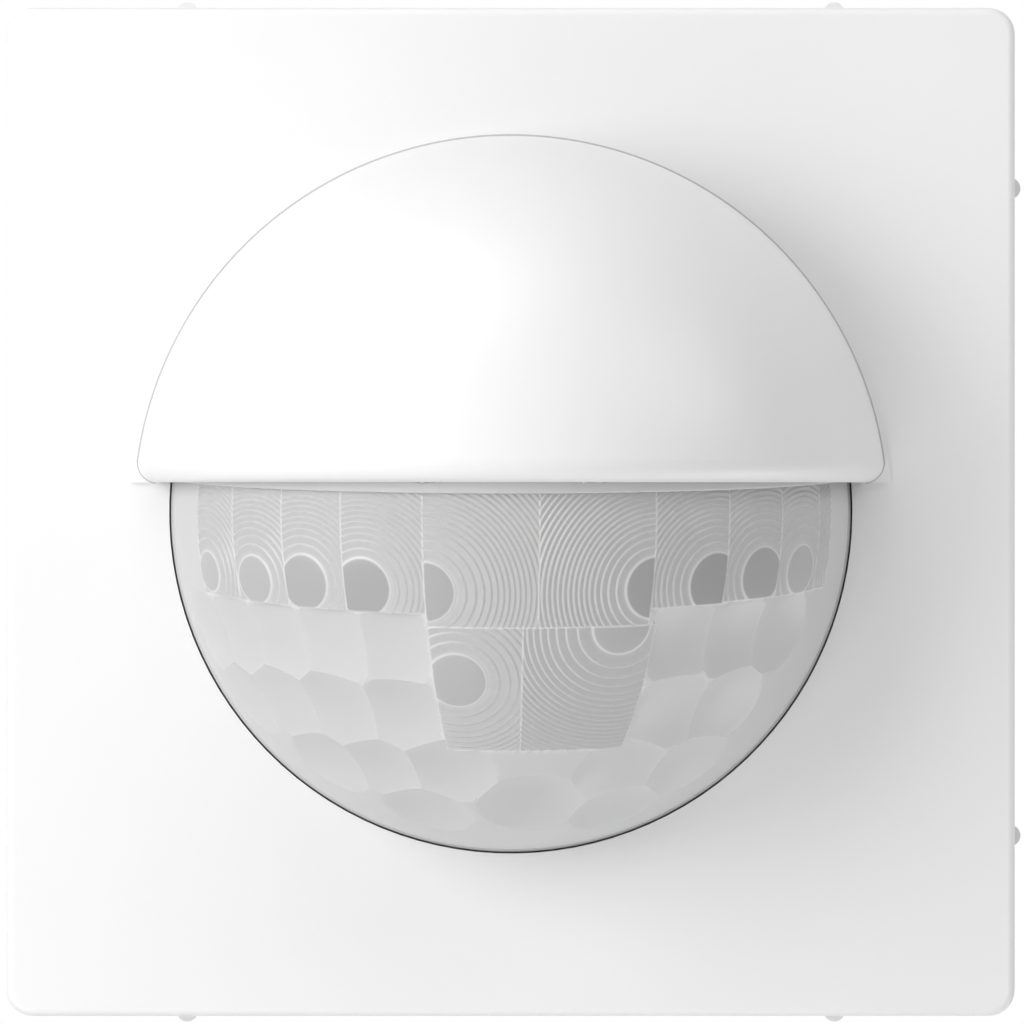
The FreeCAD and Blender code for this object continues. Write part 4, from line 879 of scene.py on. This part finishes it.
def floor_material():
    """Pale floor that keeps the object's shadow; it lets views from below through."""
    n = Nodes("floor")
    cloud = n.span(n.noise(6.0), 0.0, 1.0)
    lift = n.add("ShaderNodeMath")
    lift.operation = "MULTIPLY"
    lift.inputs[1].default_value = FLOOR_LIFT
    n.link(seen_directly(n.tree), lift.inputs[0])
    n.set(Base_Color=n.blend(cloud, (0.78, 0.78, 0.78), (0.80, 0.80, 0.80)), Roughness=0.6,
          Emission_Color=WHITE, Emission_Strength=lift.outputs["Value"])
    mix = n.add("ShaderNodeMixShader")
    back = n.add("ShaderNodeNewGeometry")
    clear = n.add("ShaderNodeBsdfTransparent")
    output = [node for node in n.tree.nodes if node.type == "OUTPUT_MATERIAL"][0]
    n.link(back.outputs["Backfacing"], mix.inputs["Fac"])
    n.link(n.surface.outputs["BSDF"], mix.inputs[1])
    n.link(clear.outputs["BSDF"], mix.inputs[2])
    n.link(mix.outputs["Shader"], output.inputs["Surface"])
    return n.material


bpy.ops.mesh.primitive_plane_add(size=FLOOR_SIZE, location=(0.0, 0.0, FLOOR_LEVEL))
floor = bpy.context.object
floor.name = "floor"
floor.data.materials.append(floor_material())
floor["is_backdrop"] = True

world = bpy.data.worlds.new("studio")
bpy.context.scene.world = world
world.use_nodes = True
sky = world.node_tree
sky.nodes.clear()
seen = sky.nodes.new("ShaderNodeBackground")
seen.inputs["Color"].default_value = WHITE
seen.inputs["Strength"].default_value = 1.0
soft = sky.nodes.new("ShaderNodeBackground")
soft.inputs["Color"].default_value = WHITE
soft.inputs["Strength"].default_value = SOFT_LIGHT
chosen = sky.nodes.new("ShaderNodeMixShader")
result = sky.nodes.new("ShaderNodeOutputWorld")
sky.links.new(seen_directly(sky), chosen.inputs["Fac"])
sky.links.new(soft.outputs["Background"], chosen.inputs[1])
sky.links.new(seen.outputs["Background"], chosen.inputs[2])
sky.links.new(chosen.outputs["Shader"], result.inputs["Surface"])


def area_light(name, place, power):
    """A soft square lamp that points at the object."""
    light = bpy.data.lights.new(name, "AREA")
    light.shape = "SQUARE"
    light.size = LAMP_SIZE
    light.energy = power
    lamp = bpy.data.objects.new(name, light)
    lamp.location = place
    lamp.visible_camera = False
    aim = Vector(LAMP_TARGET) - Vector(place)
    lamp.rotation_euler = aim.to_track_quat("-Z", "Y").to_euler()
    bpy.context.scene.collection.objects.link(lamp)
    lamp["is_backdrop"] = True


for name, (place, power) in LAMPS.items():
    area_light(name, place, power)

camera_data = bpy.data.cameras.new("camera")
camera_data.lens = CAMERA_LENS
camera_data.sensor_width = SENSOR_WIDTH
camera = bpy.data.objects.new("camera", camera_data)
camera.location = CAMERA_PLACE
camera.rotation_euler = (math.radians(90), 0.0, 0.0)
bpy.context.scene.collection.objects.link(camera)
bpy.context.scene.camera = camera
bpy.context.scene.view_settings.view_transform = "Standard"

low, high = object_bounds()
